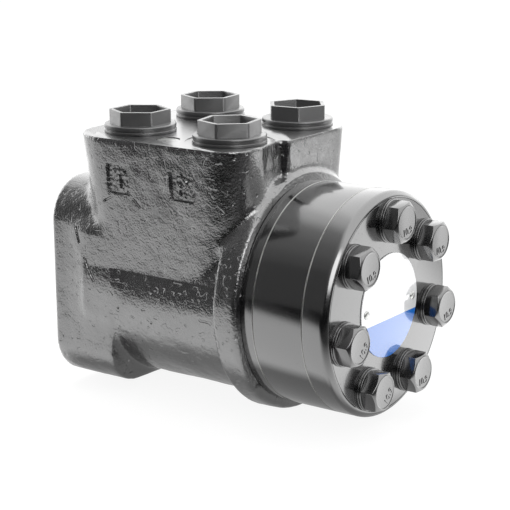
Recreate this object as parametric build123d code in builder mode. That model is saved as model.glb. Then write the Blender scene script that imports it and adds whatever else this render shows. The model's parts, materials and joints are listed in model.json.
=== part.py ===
from build123d import *
from math import atan2, cos, degrees, pi, radians, sin, sqrt
import os

# Orbital steering unit. Millimetres, +Z up. The unit's main axis is the X axis: the mounting
# face is the plane X = 0 and faces -X, the gear set and the end cap are at the +X end, and the
# four ports open upwards. The tank and pressure ports are on the -Y side.

# ---- driving dimensions ------------------------------------------------------------------

# fits
running_gap = 0.03  # radial clearance of turning pieces, and of plain stand-ins for threads
seat_gap = 0.02  # radial clearance of pieces that sit still in their seats
end_play = 0.4  # axial room at the gear end of the valve
mesh_gap = 0.05  # clearance between the rotor and the stator lobes
small_chamfer = 0.5
cut_margin = 1.0  # how far a cutter runs past the face that it opens

# housing, outside
housing_length = 115.0
mount_block_length = 35.0
mount_half_width = 48.0
mount_top = 47.0
mount_bottom = 51.5
mount_corner = 19.0
mount_side_bulge = 1.8  # how far the cast sides swell beyond a straight line
body_radius = 51.0
gear_flange_rise = 5.5  # how far the flange stands proud of the round body
gear_flange_thickness = 12.5
gear_flange_round = 1.6  # bevel of the flange's outer edge

# port block
port_face_height = 72.0
block_start = 14.5  # from the mounting face
block_end_gap = 1.5  # from the gear face
block_front_rise = 2.5  # how far the block's front stands proud of the round body
block_back = 43.0
block_foot_height = 10.0
block_draft = 3.4  # how far each wall leans in between the port face and the foot
block_corner = 14.0
block_foot_corner = 26.0
block_groove_depth = 4.5
block_groove_front = 29.0
block_groove_back = 12.0
foot_groove_radius = 5.0
foot_groove_depth = 2.4

# ports
port_first_x = 39.3
port_spacing_x = 52.2
port_half_spacing = 27.0
port_bore_radius = 9.3
port_depth = 18.0
spot_face_radius = 20.3
spot_face_depth = 0.35
gallery_radius = 24.0
gallery_width = 5.0
gallery_offset = 4.0
gallery_drill_radius = 3.2

# mounting end
mount_bolt_circle = 82.5
mount_bolt_count = 4
mount_hole_radius = 4.25
mount_hole_depth = 18.0
pilot_radius = 20.5
pilot_depth = 5.0
pilot_chamfer = 1.0
dust_seat_radius = 18.0
dust_seat_depth = 4.4
neck_radius = 14.6  # bore round the spool's neck, between the seals
shaft_groove_start = 12.0
shaft_groove_width = 4.2
shaft_groove_radius = 18.0
shoulder_x = 20.0  # where the thrust bearing rests

# valve
sleeve_radius = 18.97
spool_radius = 14.0
spool_start = 7.0
spool_bore_radius = 10.6
input_spline_end = 25.5
spline_teeth = 12
spline_root_radius = 8.9
spline_tip_radius = 10.3
spline_space_width = 2.5
spline_flank_lean = 0.3  # how far a tooth's flank leans out at its root and in at its tip
spline_mouth_chamfer = 1.0
spring_slot_start = 27.0
spring_slot_width = 7.4
spring_slot_height = 7.8
spring_half_length = 17.4
spring_width = 7.0
flat_spring_thickness = 0.9
arched_spring_thickness = 0.6
arched_spring_rise = 1.2
spring_gap = 0.06
spring_ring_thickness = 0.7
spring_ring_width = 9.4
pin_x = 58.0
pin_radius = 4.0
pin_half_length = 18.5
pin_chamfer = 0.4
spool_turn_limit = 10.0  # degrees that the spool turns in the sleeve, each way
metering_hole_radius = 1.6
pressure_hole_radius = 2.0
commutator_x = 105.0
commutator_hole_radius = 2.2
spool_groove_depth = 1.5
spool_slot_width = 3.0

# thrust bearing
race_thickness = 1.0
race_outer_radius = 18.6
race_inner_radius = 14.2
needle_radius = 1.0
needle_length = 3.0
needle_count = 20
needle_circle_radius = 16.4
cage_thickness = 1.3

# shaft seals
glide_ring_thickness = 1.2
o_ring_squeeze_gap = 0.05
dust_lip_thickness = 1.2

# gear set
stack_radius = 52.0
plate_thickness = 6.6
ring_thickness = 26.0
cap_thickness = 12.4
plate_chamfer = 1.0
cap_chamfer = 2.2
lobe_count = 7
lobe_circle_radius = 36.0
lobe_radius = 10.0
eccentricity = 3.0
chamber_hole_circle = 28.8
chamber_hole_radius = 2.8
plate_bore_radius = 13.0
rotor_side_gap = 0.03
rotor_spacer_thickness = 4.0
rotor_spacer_radius = 8.3
rotor_outline_points = 25  # along one tooth

# drive shaft
fork_radius = 9.2
fork_reach = 10.0  # from the pin's axis to the end of the fork
fork_length = 9.0  # from the pin's axis to the shank
fork_slot_gap = 0.05
shank_radius = 7.0
crown_half_length = 8.0
crown_angle = 3.0
crown_gap = 0.1
crown_root_gap = 0.3

# bolts
bolt_circle = 78.0
bolt_hole_radius = 5.25
bolt_shank_radius = 5.0
bolt_thread_radius = 4.25
bolt_thread_length = 18.0
bolt_hole_depth = 21.0
bolt_head_height = 7.0
bolt_head_flats = 17.0
bolt_head_dish = 1.0
bolt_washer_thickness = 2.0
bolt_washer_radius = 10.0
pin_bolt_index = 3
pin_bolt_pin_radius = 2.0
suction_ball_radius = 4.0
suction_ball_travel = 1.5
suction_seat_radius = 2.5
suction_hole_depth = 33.0

# face seals
face_seal_circle = 47.2
face_seal_groove_width = 2.2
face_seal_groove_depth = 1.5
face_seal_cord = 1.46

# name plate
name_plate_radius = 24.0
name_plate_thickness = 0.5
rivet_offset = 19.8
rivet_radius = 1.2
rivet_head_radius = 2.0
rivet_head_height = 0.8
rivet_length = 5.0

# check valve
check_x = 65.4
check_y = 38.8
check_bore_radius = 5.5
check_seat_depth = 27.0
check_seat_radius = 3.0
check_ball_radius = 4.25
check_ball_travel = 1.7
check_bush_length = 6.0
check_bush_bore = 2.2
check_bush_hex_flats = 5.3
check_plug_length = 5.0
check_plug_recess = 0.4
check_drill_radius = 2.5

# shipping plugs
plug_flange_radius = 17.0
plug_flange_height = 3.8
plug_groove_depth = 0.5
plug_hex_corner_radius = 14.75
plug_height = 10.2
plug_wall = 1.8
plug_stem_length = 12.0
plug_stem_bore = 7.2
plug_turns = (32.3, 42.2, 36.3, 6.5)  # degrees that each hexagon stands turned

# ---- places worked out from the dimensions -----------------------------------------------

gear_flange_radius = body_radius + gear_flange_rise
block_left = block_start
block_right = housing_length - block_end_gap
block_front = body_radius + block_front_rise
plate_x = housing_length
ring_x = plate_x + plate_thickness
cap_x = ring_x + ring_thickness
cap_face = cap_x + cap_thickness
valve_end = housing_length - end_play
rotor_middle = ring_x + ring_thickness / 2
race_rear_x = shoulder_x
needle_x = race_rear_x + race_thickness + seat_gap + needle_radius
race_front_x = needle_x + needle_radius + seat_gap
sleeve_start = race_front_x + race_thickness + seat_gap
spring_x = spring_slot_start + spring_slot_width / 2
bolt_angles = [90 + 360 / lobe_count * k for k in range(lobe_count)]
chamber_angles = [a + 180 / lobe_count for a in bolt_angles]
ports = (
    ("tank", port_first_x, -port_half_spacing, -gallery_offset),
    ("pressure", port_first_x + port_spacing_x, -port_half_spacing, -gallery_offset),
    ("left", port_first_x, port_half_spacing, gallery_offset),
    ("right", port_first_x + port_spacing_x, port_half_spacing, gallery_offset),
)

os.makedirs("parts", exist_ok=True)


# ---- helpers -----------------------------------------------------------------------------


def on_circle(radius, angle):
    """The Y and Z of a point at this radius from the main axis."""
    return radius * cos(radians(angle)), radius * sin(radians(angle))


def across(x):
    """The plane across the main axis at x, with its own x along +Y and its y along +Z."""
    return Plane.YZ.offset(x)


def places(radius, angles):
    """Places on a circle in a plane across the main axis."""
    return Locations(*[on_circle(radius, angle) for angle in angles])


def between(start, end):
    """A plane at start that looks towards end, and the distance between the two."""
    direction = Vector(*end) - Vector(*start)
    return Plane(origin=start, z_dir=direction), direction.length


def tube(x_start, x_end, outer, inner):
    """A plain ring about the main axis."""
    with BuildPart() as ring:
        with BuildSketch(across(x_start)):
            Circle(outer)
            Circle(inner, mode=Mode.SUBTRACT)
        extrude(amount=x_end - x_start)
    return ring


def o_ring(x_middle, circle_radius, cord_radius):
    """A rubber ring about the main axis."""
    with BuildPart() as ring:
        with BuildSketch(Plane.XY):
            with Locations((x_middle, circle_radius)):
                Circle(cord_radius)
        revolve(axis=Axis.X)
    return ring


def spline_section(plane, root, tip, width):
    """A round section with straight-sided teeth that stand out from it."""
    root_half = width / 2 + spline_flank_lean
    tip_half = width / 2 - spline_flank_lean
    with BuildSketch(plane) as section:
        Circle(root)
        with PolarLocations(0, spline_teeth):
            with BuildLine():
                Polyline(
                    (0, root_half),
                    (root, root_half),
                    (tip, tip_half),
                    (tip, -tip_half),
                    (root, -root_half),
                    (0, -root_half),
                    close=True,
                )
            make_face()
    return section


def save(part, name):
    """Labels a finished piece and writes its file."""
    part.part.label = name
    export_step(part.part, f"parts/{name}.step")


# ---- housing -----------------------------------------------------------------------------


def block_outline(height, lean, front_corner):
    """The port block's section at this height, its walls moved in by lean."""
    left, right = block_left + lean, block_right - lean
    front, back = -block_front + lean, block_back - lean
    with BuildSketch(Plane.XY.offset(height)) as outline:
        with Locations(((left + right) / 2, (front + back) / 2)):
            Rectangle(right - left, back - front)
        fillet(outline.vertices().sort_by(Axis.Y)[:2], radius=front_corner)
        fillet(outline.vertices().sort_by(Axis.Y)[-2:], radius=block_corner)
    return outline


with BuildPart() as housing:
    # square mounting end with slightly swollen cast sides
    with BuildSketch(across(0)) as mount_outline:
        with BuildLine():
            bulge = mount_half_width
            corner = mount_half_width - mount_side_bulge
            ThreePointArc((-corner, -mount_bottom), (-bulge, 0), (-corner, mount_top))
            Line((-corner, mount_top), (corner, mount_top))
            ThreePointArc((corner, mount_top), (bulge, 0), (corner, -mount_bottom))
            Line((corner, -mount_bottom), (-corner, -mount_bottom))
        make_face()
        fillet(mount_outline.vertices(), radius=mount_corner)
    extrude(amount=mount_block_length)

    # round body
    with BuildSketch(across(mount_block_length)):
        Circle(body_radius)
    extrude(amount=housing_length - mount_block_length)

    # port block, leaning in from the port face down to its foot
    top_outline = block_outline(port_face_height, 0, block_corner)
    foot_outline = block_outline(block_foot_height, block_draft, block_foot_corner)
    loft([top_outline.sketch.face(), foot_outline.sketch.face()])

    # flat groove in the block's gear side, soft at its front edge and square at its back one
    with BuildSketch(Plane.XY.offset(port_face_height)):
        with BuildLine():
            groove_floor = block_right - block_groove_depth
            Polyline(
                (block_right + cut_margin, -block_groove_front),
                (block_right, -block_groove_front),
                (groove_floor, -block_groove_front + block_groove_depth * 2),
                (groove_floor, -block_groove_back),
                (block_right + cut_margin, -block_groove_back),
                close=True,
            )
        make_face()
    extrude(amount=-(port_face_height - block_foot_height), mode=Mode.SUBTRACT)

    # hollow line under the block's front foot, along the round body
    foot_groove_y = -sqrt(body_radius**2 - (block_foot_height - foot_groove_radius) ** 2)
    with BuildSketch(across(mount_block_length + foot_groove_radius)):
        with Locations(
            (
                foot_groove_y - foot_groove_radius + foot_groove_depth,
                block_foot_height - foot_groove_radius,
            )
        ):
            Circle(foot_groove_radius)
    extrude(
        amount=housing_length
        - gear_flange_thickness
        - mount_block_length
        - foot_groove_radius,
        mode=Mode.SUBTRACT,
    )

    # round flange for the gear set, its outer edge bevelled
    flange_start = housing_length - gear_flange_thickness
    with BuildSketch(Plane.XY):
        with BuildLine():
            Polyline(
                (flange_start, 0),
                (flange_start, gear_flange_radius),
                (housing_length - gear_flange_round, gear_flange_radius),
                (housing_length, gear_flange_radius - gear_flange_round),
                (housing_length, 0),
                close=True,
            )
        make_face()
    revolve(axis=Axis.X)

    # input bore, from the mounting face inwards
    with BuildSketch(across(0)):
        Circle(pilot_radius)
    extrude(amount=pilot_depth, mode=Mode.SUBTRACT)
    mouth_edges = housing.faces().sort_by(Axis.X)[0].edges().filter_by(GeomType.CIRCLE)
    chamfer(mouth_edges.sort_by(SortBy.RADIUS)[-1], length=pilot_chamfer)
    with BuildSketch(across(0)):
        Circle(dust_seat_radius)
    extrude(amount=pilot_depth + dust_seat_depth, mode=Mode.SUBTRACT)
    with BuildSketch(across(0)):
        Circle(neck_radius)
    extrude(amount=shoulder_x, mode=Mode.SUBTRACT)
    with BuildSketch(across(shaft_groove_start)):
        Circle(shaft_groove_radius)
    extrude(amount=shaft_groove_width, mode=Mode.SUBTRACT)

    # valve bore and the ring grooves that feed it
    with BuildSketch(across(shoulder_x)):
        Circle(sleeve_radius + running_gap)
    extrude(amount=housing_length - shoulder_x, mode=Mode.SUBTRACT)
    for name, x, y, offset in ports:
        with BuildSketch(across(x + offset - gallery_width / 2)):
            Circle(gallery_radius)
        extrude(amount=gallery_width, mode=Mode.SUBTRACT)

    # ports, each with a slanting drilling down to its own ring groove
    for name, x, y, offset in ports:
        with Locations(Plane.XY.offset(port_face_height)):
            with Locations((x, y)):
                Hole(port_bore_radius, depth=port_depth)
        port_floor = port_face_height - port_depth
        side = -1 if y < 0 else 1
        start = (x + offset / 2, y, port_floor + gallery_drill_radius)
        end = (x + offset, side * gallery_radius / 2, sleeve_radius)
        drill_plane, drill_length = between(start, end)
        with BuildSketch(drill_plane):
            Circle(gallery_drill_radius)
        extrude(amount=drill_length, mode=Mode.SUBTRACT)
    with Locations(Plane.XY.offset(port_face_height)):
        with Locations((ports[1][1], ports[1][2])):
            Hole(spot_face_radius, depth=spot_face_depth)

    # check valve bore, between the tank and pressure ports
    with Locations(Plane.XY.offset(port_face_height)):
        with Locations((check_x, -check_y)):
            Hole(check_bore_radius, depth=check_seat_depth)
    check_floor = port_face_height - check_seat_depth
    with Locations(Plane.XY.offset(check_floor)):
        with Locations((check_x, -check_y)):
            Hole(check_seat_radius, depth=check_ball_radius)
    pressure_side = (ports[1][1], ports[1][2], port_face_height - port_depth + check_drill_radius)
    tank_side = (ports[0][1], ports[0][2], port_face_height - port_depth / 2)
    below_seat = (check_x, -check_y, check_floor - check_drill_radius)
    above_bush = (check_x, -check_y, port_face_height - port_depth / 2)
    for start, end in ((pressure_side, below_seat), (tank_side, above_bush)):
        drill_plane, drill_length = between(start, end)
        with BuildSketch(drill_plane):
            Circle(check_drill_radius)
        extrude(amount=drill_length, mode=Mode.SUBTRACT)

    # mounting holes
    mount_angles = [45 + 360 / mount_bolt_count * k for k in range(mount_bolt_count)]
    with BuildSketch(across(0)):
        with places(mount_bolt_circle / 2, mount_angles):
            Circle(mount_hole_radius)
    extrude(amount=mount_hole_depth, mode=Mode.SUBTRACT)

    # gear end: bolt holes, chamber passages and the face seal's groove
    with BuildSketch(across(housing_length)):
        with places(bolt_circle / 2, bolt_angles):
            Circle(bolt_thread_radius)
    extrude(amount=-bolt_hole_depth, mode=Mode.SUBTRACT)
    with BuildSketch(across(housing_length)):
        with places(chamber_hole_circle, chamber_angles):
            Circle(chamber_hole_radius)
    extrude(amount=-(housing_length - commutator_x + chamber_hole_radius), mode=Mode.SUBTRACT)
    for angle in chamber_angles:
        y, z = on_circle(chamber_hole_circle, angle)
        with BuildSketch(Plane(origin=(commutator_x, y, z), z_dir=(0, -y, -z))):
            Circle(commutator_hole_radius)
        extrude(amount=chamber_hole_circle - sleeve_radius + cut_margin, mode=Mode.SUBTRACT)
    with BuildSketch(across(housing_length)):
        Circle(face_seal_circle + face_seal_groove_width / 2)
        Circle(face_seal_circle - face_seal_groove_width / 2, mode=Mode.SUBTRACT)
    extrude(amount=-face_seal_groove_depth, mode=Mode.SUBTRACT)

    # suction valve, at the bottom of the pin bolt's hole, and its drilling to the tank side
    suction_y, suction_z = on_circle(bolt_circle / 2, bolt_angles[pin_bolt_index])
    suction_seat_x = housing_length - suction_hole_depth
    with BuildSketch(across(housing_length)):
        with Locations((suction_y, suction_z)):
            Circle(bolt_thread_radius)
    extrude(amount=-suction_hole_depth, mode=Mode.SUBTRACT)
    with BuildSketch(across(suction_seat_x)):
        with Locations((suction_y, suction_z)):
            Circle(suction_seat_radius)
    extrude(amount=-suction_ball_radius, mode=Mode.SUBTRACT)
    tank_gallery = ports[0][1] + ports[0][3]
    gallery_y, gallery_z = on_circle(gallery_radius - cut_margin, bolt_angles[pin_bolt_index])
    drill_plane, drill_length = between(
        (suction_seat_x - suction_ball_radius, suction_y, suction_z),
        (tank_gallery, gallery_y, gallery_z),
    )
    with BuildSketch(drill_plane):
        Circle(suction_seat_radius)
    extrude(amount=drill_length, mode=Mode.SUBTRACT)
save(housing, "housing")

# ---- seals and bearing of the input end ------------------------------------------------------

shaft_groove_middle = shaft_groove_start + shaft_groove_width / 2
glide_outer = spool_radius + running_gap + glide_ring_thickness
shaft_cord = (shaft_groove_radius - glide_outer) / 2 - o_ring_squeeze_gap
glide_half_width = shaft_groove_width / 2 - o_ring_squeeze_gap

glide_ring = tube(
    shaft_groove_middle - glide_half_width,
    shaft_groove_middle + glide_half_width,
    glide_outer,
    spool_radius + running_gap,
)
save(glide_ring, "glide_ring")

shaft_o_ring = o_ring(
    shaft_groove_middle, (shaft_groove_radius + glide_outer) / 2, shaft_cord
)
save(shaft_o_ring, "shaft_o_ring")

with BuildPart() as dust_seal:
    dust_back = pilot_depth + dust_seat_depth
    with BuildSketch(Plane.XY):
        with BuildLine():
            Polyline(
                (pilot_depth + seat_gap, dust_seat_radius - seat_gap),
                (dust_back, dust_seat_radius - seat_gap),
                (dust_back, neck_radius + running_gap),
                (dust_back - dust_lip_thickness, neck_radius + running_gap),
                (pilot_depth + dust_lip_thickness * 2, spool_radius + running_gap * 2),
                (pilot_depth + dust_lip_thickness, spool_radius + running_gap),
                (pilot_depth + seat_gap, neck_radius + running_gap),
                close=True,
            )
        make_face()
    revolve(axis=Axis.X)
save(dust_seal, "dust_seal")

for name, x in (("bearing_race_rear", race_rear_x), ("bearing_race_front", race_front_x)):
    race = tube(x, x + race_thickness, race_outer_radius, race_inner_radius)
    save(race, name)

needle_angles = [360 / needle_count * k for k in range(needle_count)]

with BuildPart() as bearing_cage:
    with BuildSketch(across(needle_x - cage_thickness / 2)):
        Circle(race_outer_radius)
        Circle(race_inner_radius, mode=Mode.SUBTRACT)
        with PolarLocations(needle_circle_radius, needle_count):
            Rectangle(
                needle_length + 2 * running_gap,
                2 * (needle_radius + running_gap),
                mode=Mode.SUBTRACT,
            )
    extrude(amount=cage_thickness)
save(bearing_cage, "bearing_cage")

with BuildPart() as bearing_needles:
    for angle in needle_angles:
        y, z = on_circle(needle_circle_radius - needle_length / 2, angle)
        out_y, out_z = on_circle(1, angle)
        with BuildSketch(Plane(origin=(needle_x, y, z), z_dir=(0, out_y, out_z))):
            Circle(needle_radius)
        extrude(amount=needle_length)
save(bearing_needles, "bearing_needles")

# ---- valve: sleeve, spool, springs and cross pin -----------------------------------------------

with BuildPart() as sleeve:
    with BuildSketch(across(sleeve_start)):
        Circle(sleeve_radius)
        Circle(spool_radius + running_gap, mode=Mode.SUBTRACT)
    extrude(amount=valve_end - sleeve_start)
    # relief for the ring that holds the springs, and the slots that they pass through
    ring_start = spring_x - spring_ring_width / 2
    with BuildSketch(across(ring_start - seat_gap)):
        Circle(sleeve_radius + cut_margin)
        Circle(sleeve_radius - spring_ring_thickness - seat_gap, mode=Mode.SUBTRACT)
    extrude(amount=spring_ring_width + 2 * seat_gap, mode=Mode.SUBTRACT)
    with BuildSketch(Plane.XY.offset(-spring_slot_height / 2)):
        with Locations((spring_x, 0)):
            Rectangle(spring_slot_width, 2 * (sleeve_radius + cut_margin))
    extrude(amount=spring_slot_height, mode=Mode.SUBTRACT)
    # cross pin's hole
    with BuildSketch(Plane.XY.offset(-sleeve_radius)):
        with Locations((pin_x, 0)):
            Circle(pin_radius + seat_gap)
    extrude(amount=2 * sleeve_radius, mode=Mode.SUBTRACT)
    # rows of radial holes, one row for each ring groove and one for the chambers
    hole_rows = [
        (x + offset, lobe_count - 1, pressure_hole_radius) for name, x, y, offset in ports
    ]
    hole_rows.append((commutator_x, 2 * (lobe_count - 1), metering_hole_radius))
    for x, count, radius in hole_rows:
        for k in range(count):
            out_y, out_z = on_circle(1, 360 / count * (k + 0.5))
            with BuildSketch(Plane(origin=(x, 0, 0), z_dir=(0, out_y, out_z))):
                Circle(radius)
            extrude(amount=sleeve_radius + cut_margin, mode=Mode.SUBTRACT)
save(sleeve, "sleeve")

with BuildPart() as spool:
    with BuildSketch(across(spool_start)):
        Circle(spool_radius)
    extrude(amount=valve_end - spool_start)
    # input splines, then the plain bore for the drive shaft
    input_spline = spline_section(
        across(spool_start), spline_root_radius, spline_tip_radius, spline_space_width
    )
    extrude(input_spline.sketch, amount=input_spline_end - spool_start, mode=Mode.SUBTRACT)
    with BuildSketch(across(input_spline_end)):
        Circle(spool_bore_radius)
    extrude(amount=valve_end - input_spline_end, mode=Mode.SUBTRACT)
    mouth = spline_tip_radius + spline_mouth_chamfer
    with BuildSketch(Plane.XY):
        with BuildLine():
            Polyline(
                (spool_start, 0),
                (spool_start, mouth),
                (spool_start + mouth - spline_root_radius, spline_root_radius),
                (spool_start + mouth - spline_root_radius, 0),
                close=True,
            )
        make_face()
    revolve(axis=Axis.X, mode=Mode.SUBTRACT)
    # cross slot for the springs
    with BuildSketch(Plane.XY.offset(-spring_slot_height / 2)):
        with Locations((spring_x, 0)):
            Rectangle(spring_slot_width, 2 * (spool_radius + cut_margin))
    extrude(amount=spring_slot_height, mode=Mode.SUBTRACT)
    # wide holes that let the spool turn a little about the cross pin
    pin_room = pin_radius + spool_radius * sin(radians(spool_turn_limit)) + 3 * fork_slot_gap
    with BuildSketch(Plane.XY.offset(-spool_radius)):
        with Locations((pin_x, 0)):
            Circle(pin_room)
    extrude(amount=2 * spool_radius, mode=Mode.SUBTRACT)
    # ring groove at each port row, and lengthways slots that link the rows near the gear end
    for name, x, y, offset in ports[::2]:
        with BuildSketch(across(x + offset - gallery_width / 2)):
            Circle(spool_radius + cut_margin)
            Circle(spool_radius - spool_groove_depth, mode=Mode.SUBTRACT)
        extrude(amount=gallery_width, mode=Mode.SUBTRACT)
    slot_start = ports[1][1] + ports[1][3] - gallery_width / 2
    with BuildSketch(across(slot_start)):
        with PolarLocations(spool_radius, lobe_count - 1):
            Rectangle(2 * spool_groove_depth, spool_slot_width)
    extrude(amount=commutator_x + gallery_width / 2 - slot_start, mode=Mode.SUBTRACT)
save(spool, "spool")

with BuildPart() as cross_pin:
    with BuildSketch(Plane.XY.offset(-pin_half_length)):
        with Locations((pin_x, 0)):
            Circle(pin_radius)
    extrude(amount=2 * pin_half_length)
    chamfer(cross_pin.edges().filter_by(GeomType.CIRCLE), length=pin_chamfer)
save(cross_pin, "cross_pin")

spring_plane = Plane(
    origin=(spring_x - spring_width / 2, 0, 0), x_dir=(0, 1, 0), z_dir=(1, 0, 0)
)

with BuildPart() as flat_springs:
    with BuildSketch(spring_plane):
        flat_middle = (flat_spring_thickness + spring_gap) / 2
        with Locations((0, flat_middle), (0, -flat_middle)):
            Rectangle(2 * spring_half_length, flat_spring_thickness)
    extrude(amount=spring_width)
save(flat_springs, "flat_springs")

with BuildPart() as arched_springs:
    with BuildSketch(spring_plane):
        for side in (1, -1):
            for layer in (0, 1):
                low = flat_spring_thickness + spring_gap * (1.5 + layer)
                low += arched_spring_thickness * layer
                high = low + arched_spring_thickness
                with BuildLine():
                    ThreePointArc(
                        (-spring_half_length, side * (low + arched_spring_rise)),
                        (0, side * low),
                        (spring_half_length, side * (low + arched_spring_rise)),
                    )
                    Line(
                        (spring_half_length, side * (low + arched_spring_rise)),
                        (spring_half_length, side * (high + arched_spring_rise)),
                    )
                    ThreePointArc(
                        (spring_half_length, side * (high + arched_spring_rise)),
                        (0, side * high),
                        (-spring_half_length, side * (high + arched_spring_rise)),
                    )
                    Line(
                        (-spring_half_length, side * (high + arched_spring_rise)),
                        (-spring_half_length, side * (low + arched_spring_rise)),
                    )
                make_face()
    extrude(amount=spring_width)
save(arched_springs, "arched_springs")

spring_ring = tube(
    ring_start, ring_start + spring_ring_width, sleeve_radius, sleeve_radius - spring_ring_thickness
)
save(spring_ring, "spring_ring")

# ---- drive shaft, on its own axis, which leans from the cross pin to the rotor's centre -----------

shaft_reach = rotor_middle - pin_x
shaft_lean = degrees(atan2(eccentricity, shaft_reach))
shaft_length = sqrt(shaft_reach**2 + eccentricity**2)
shaft_direction = (cos(radians(shaft_lean)), 0, sin(radians(shaft_lean)))


def along_shaft(distance):
    """The plane across the drive shaft at this distance from the cross pin."""
    origin = Vector(pin_x, 0, 0) + Vector(*shaft_direction) * distance
    return Plane(origin=origin, x_dir=(0, 1, 0), z_dir=shaft_direction)


with BuildPart() as drive_shaft:
    with BuildSketch(along_shaft(-fork_reach)):
        Circle(fork_radius)
    extrude(amount=fork_reach + fork_length)
    with BuildSketch(along_shaft(0)):
        Circle(shank_radius)
    extrude(amount=shaft_length)
    # crowned splines: the teeth draw in towards both ends
    crown = spline_section(
        along_shaft(shaft_length),
        spline_root_radius - crown_root_gap,
        spline_tip_radius - crown_root_gap,
        spline_space_width - 2 * crown_gap,
    )
    extrude(crown.sketch, amount=crown_half_length, both=True, taper=crown_angle)
    # fork slot, open at the end and just past the cross pin
    with BuildSketch(along_shaft(-fork_reach)):
        Rectangle(2 * (pin_radius + fork_slot_gap), 2 * (fork_radius + cut_margin))
    extrude(amount=fork_reach + pin_radius + cut_margin, mode=Mode.SUBTRACT)
save(drive_shaft, "drive_shaft")

# ---- gear set ----------------------------------------------------------------------------------

with BuildPart() as distributor_plate:
    with BuildSketch(across(plate_x)):
        Circle(stack_radius)
        Circle(plate_bore_radius, mode=Mode.SUBTRACT)
        with places(bolt_circle / 2, bolt_angles):
            Circle(bolt_hole_radius, mode=Mode.SUBTRACT)
        with places(chamber_hole_circle, chamber_angles):
            Circle(chamber_hole_radius, mode=Mode.SUBTRACT)
    extrude(amount=plate_thickness)
    outer_edges = distributor_plate.edges().filter_by(GeomType.CIRCLE).sort_by(SortBy.RADIUS)
    chamfer(outer_edges[-2:].sort_by(Axis.X)[0], length=plate_chamfer)
    with BuildSketch(across(ring_x)):
        Circle(face_seal_circle + face_seal_groove_width / 2)
        Circle(face_seal_circle - face_seal_groove_width / 2, mode=Mode.SUBTRACT)
    extrude(amount=-face_seal_groove_depth, mode=Mode.SUBTRACT)
save(distributor_plate, "distributor_plate")


stator_valley_radius = lobe_circle_radius - lobe_radius + 2 * eccentricity + 2 * mesh_gap

with BuildPart() as stator_ring:
    with BuildSketch(across(ring_x)):
        Circle(stack_radius)
        Circle(stator_valley_radius, mode=Mode.SUBTRACT)
        with places(lobe_circle_radius, bolt_angles):
            Circle(lobe_radius)
        with places(bolt_circle / 2, bolt_angles):
            Circle(bolt_hole_radius, mode=Mode.SUBTRACT)
    extrude(amount=ring_thickness)
save(stator_ring, "stator_ring")


def rotor_outline_point(t):
    """A point of the rotor's outline: the lobe centre's path, moved in by the lobe's radius."""
    teeth = lobe_count - 1
    path_x = lobe_circle_radius * cos(t) - eccentricity * cos((teeth + 1) * t)
    path_y = lobe_circle_radius * sin(t) - eccentricity * sin((teeth + 1) * t)
    run_x = -lobe_circle_radius * sin(t) + eccentricity * (teeth + 1) * sin((teeth + 1) * t)
    run_y = lobe_circle_radius * cos(t) - eccentricity * (teeth + 1) * cos((teeth + 1) * t)
    run = sqrt(run_x**2 + run_y**2)
    inset = lobe_radius + mesh_gap
    return path_x - inset * run_y / run, path_y + inset * run_x / run


tooth_angle = 2 * pi / (lobe_count - 1)

with BuildPart() as rotor:
    rotor_plane = Plane(
        origin=(ring_x + rotor_side_gap, 0, eccentricity), x_dir=(0, 0, 1), z_dir=(1, 0, 0)
    )
    with BuildSketch(rotor_plane):
        with BuildLine():
            for tooth in range(lobe_count - 1):
                Spline(
                    *[
                        rotor_outline_point(tooth_angle * (tooth + k / (rotor_outline_points - 1)))
                        for k in range(rotor_outline_points)
                    ]
                )
        make_face()
    extrude(amount=ring_thickness - 2 * rotor_side_gap)
    rotor_spline = spline_section(
        Plane(origin=(ring_x, 0, eccentricity), x_dir=(0, 1, 0), z_dir=(1, 0, 0)),
        spline_root_radius,
        spline_tip_radius,
        spline_space_width,
    )
    extrude(rotor_spline.sketch, amount=ring_thickness, mode=Mode.SUBTRACT)
save(rotor, "rotor")

with BuildPart() as rotor_spacer:
    spacer_x = cap_x - rotor_side_gap - rotor_spacer_thickness
    with BuildSketch(Plane(origin=(spacer_x, 0, eccentricity), x_dir=(0, 1, 0), z_dir=(1, 0, 0))):
        Circle(rotor_spacer_radius)
    extrude(amount=rotor_spacer_thickness)
    chamfer(rotor_spacer.edges().filter_by(GeomType.CIRCLE), length=small_chamfer)
save(rotor_spacer, "rotor_spacer")

rivet_places = ((-rivet_offset, 0), (rivet_offset, 0))

with BuildPart() as end_cap:
    with BuildSketch(across(cap_x)):
        Circle(stack_radius)
        with places(bolt_circle / 2, bolt_angles):
            Circle(bolt_hole_radius, mode=Mode.SUBTRACT)
    extrude(amount=cap_thickness)
    front_edges = end_cap.edges().filter_by(GeomType.CIRCLE).sort_by(SortBy.RADIUS)[-2:]
    chamfer(front_edges.sort_by(Axis.X)[-1], length=cap_chamfer)
    with BuildSketch(across(cap_face)):
        with Locations(*rivet_places):
            Circle(rivet_radius + seat_gap)
    extrude(amount=-rivet_length, mode=Mode.SUBTRACT)
    with BuildSketch(across(cap_x)):
        Circle(face_seal_circle + face_seal_groove_width / 2)
        Circle(face_seal_circle - face_seal_groove_width / 2, mode=Mode.SUBTRACT)
    extrude(amount=face_seal_groove_depth, mode=Mode.SUBTRACT)
save(end_cap, "end_cap")

# ---- face seals ----------------------------------------------------------------------------------

# The gear ring is kept plain, so the seals lie in grooves of the housing, the plate and the cap.
seal_depth = face_seal_groove_depth / 2
for name, x in (
    ("housing_o_ring", housing_length - seal_depth),
    ("plate_o_ring", ring_x - seal_depth),
    ("cap_o_ring", cap_x + seal_depth),
):
    seal = o_ring(x, face_seal_circle, face_seal_cord / 2)
    save(seal, name)

# ---- bolts and washers -----------------------------------------------------------------------------

head_x = cap_face + bolt_washer_thickness


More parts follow.
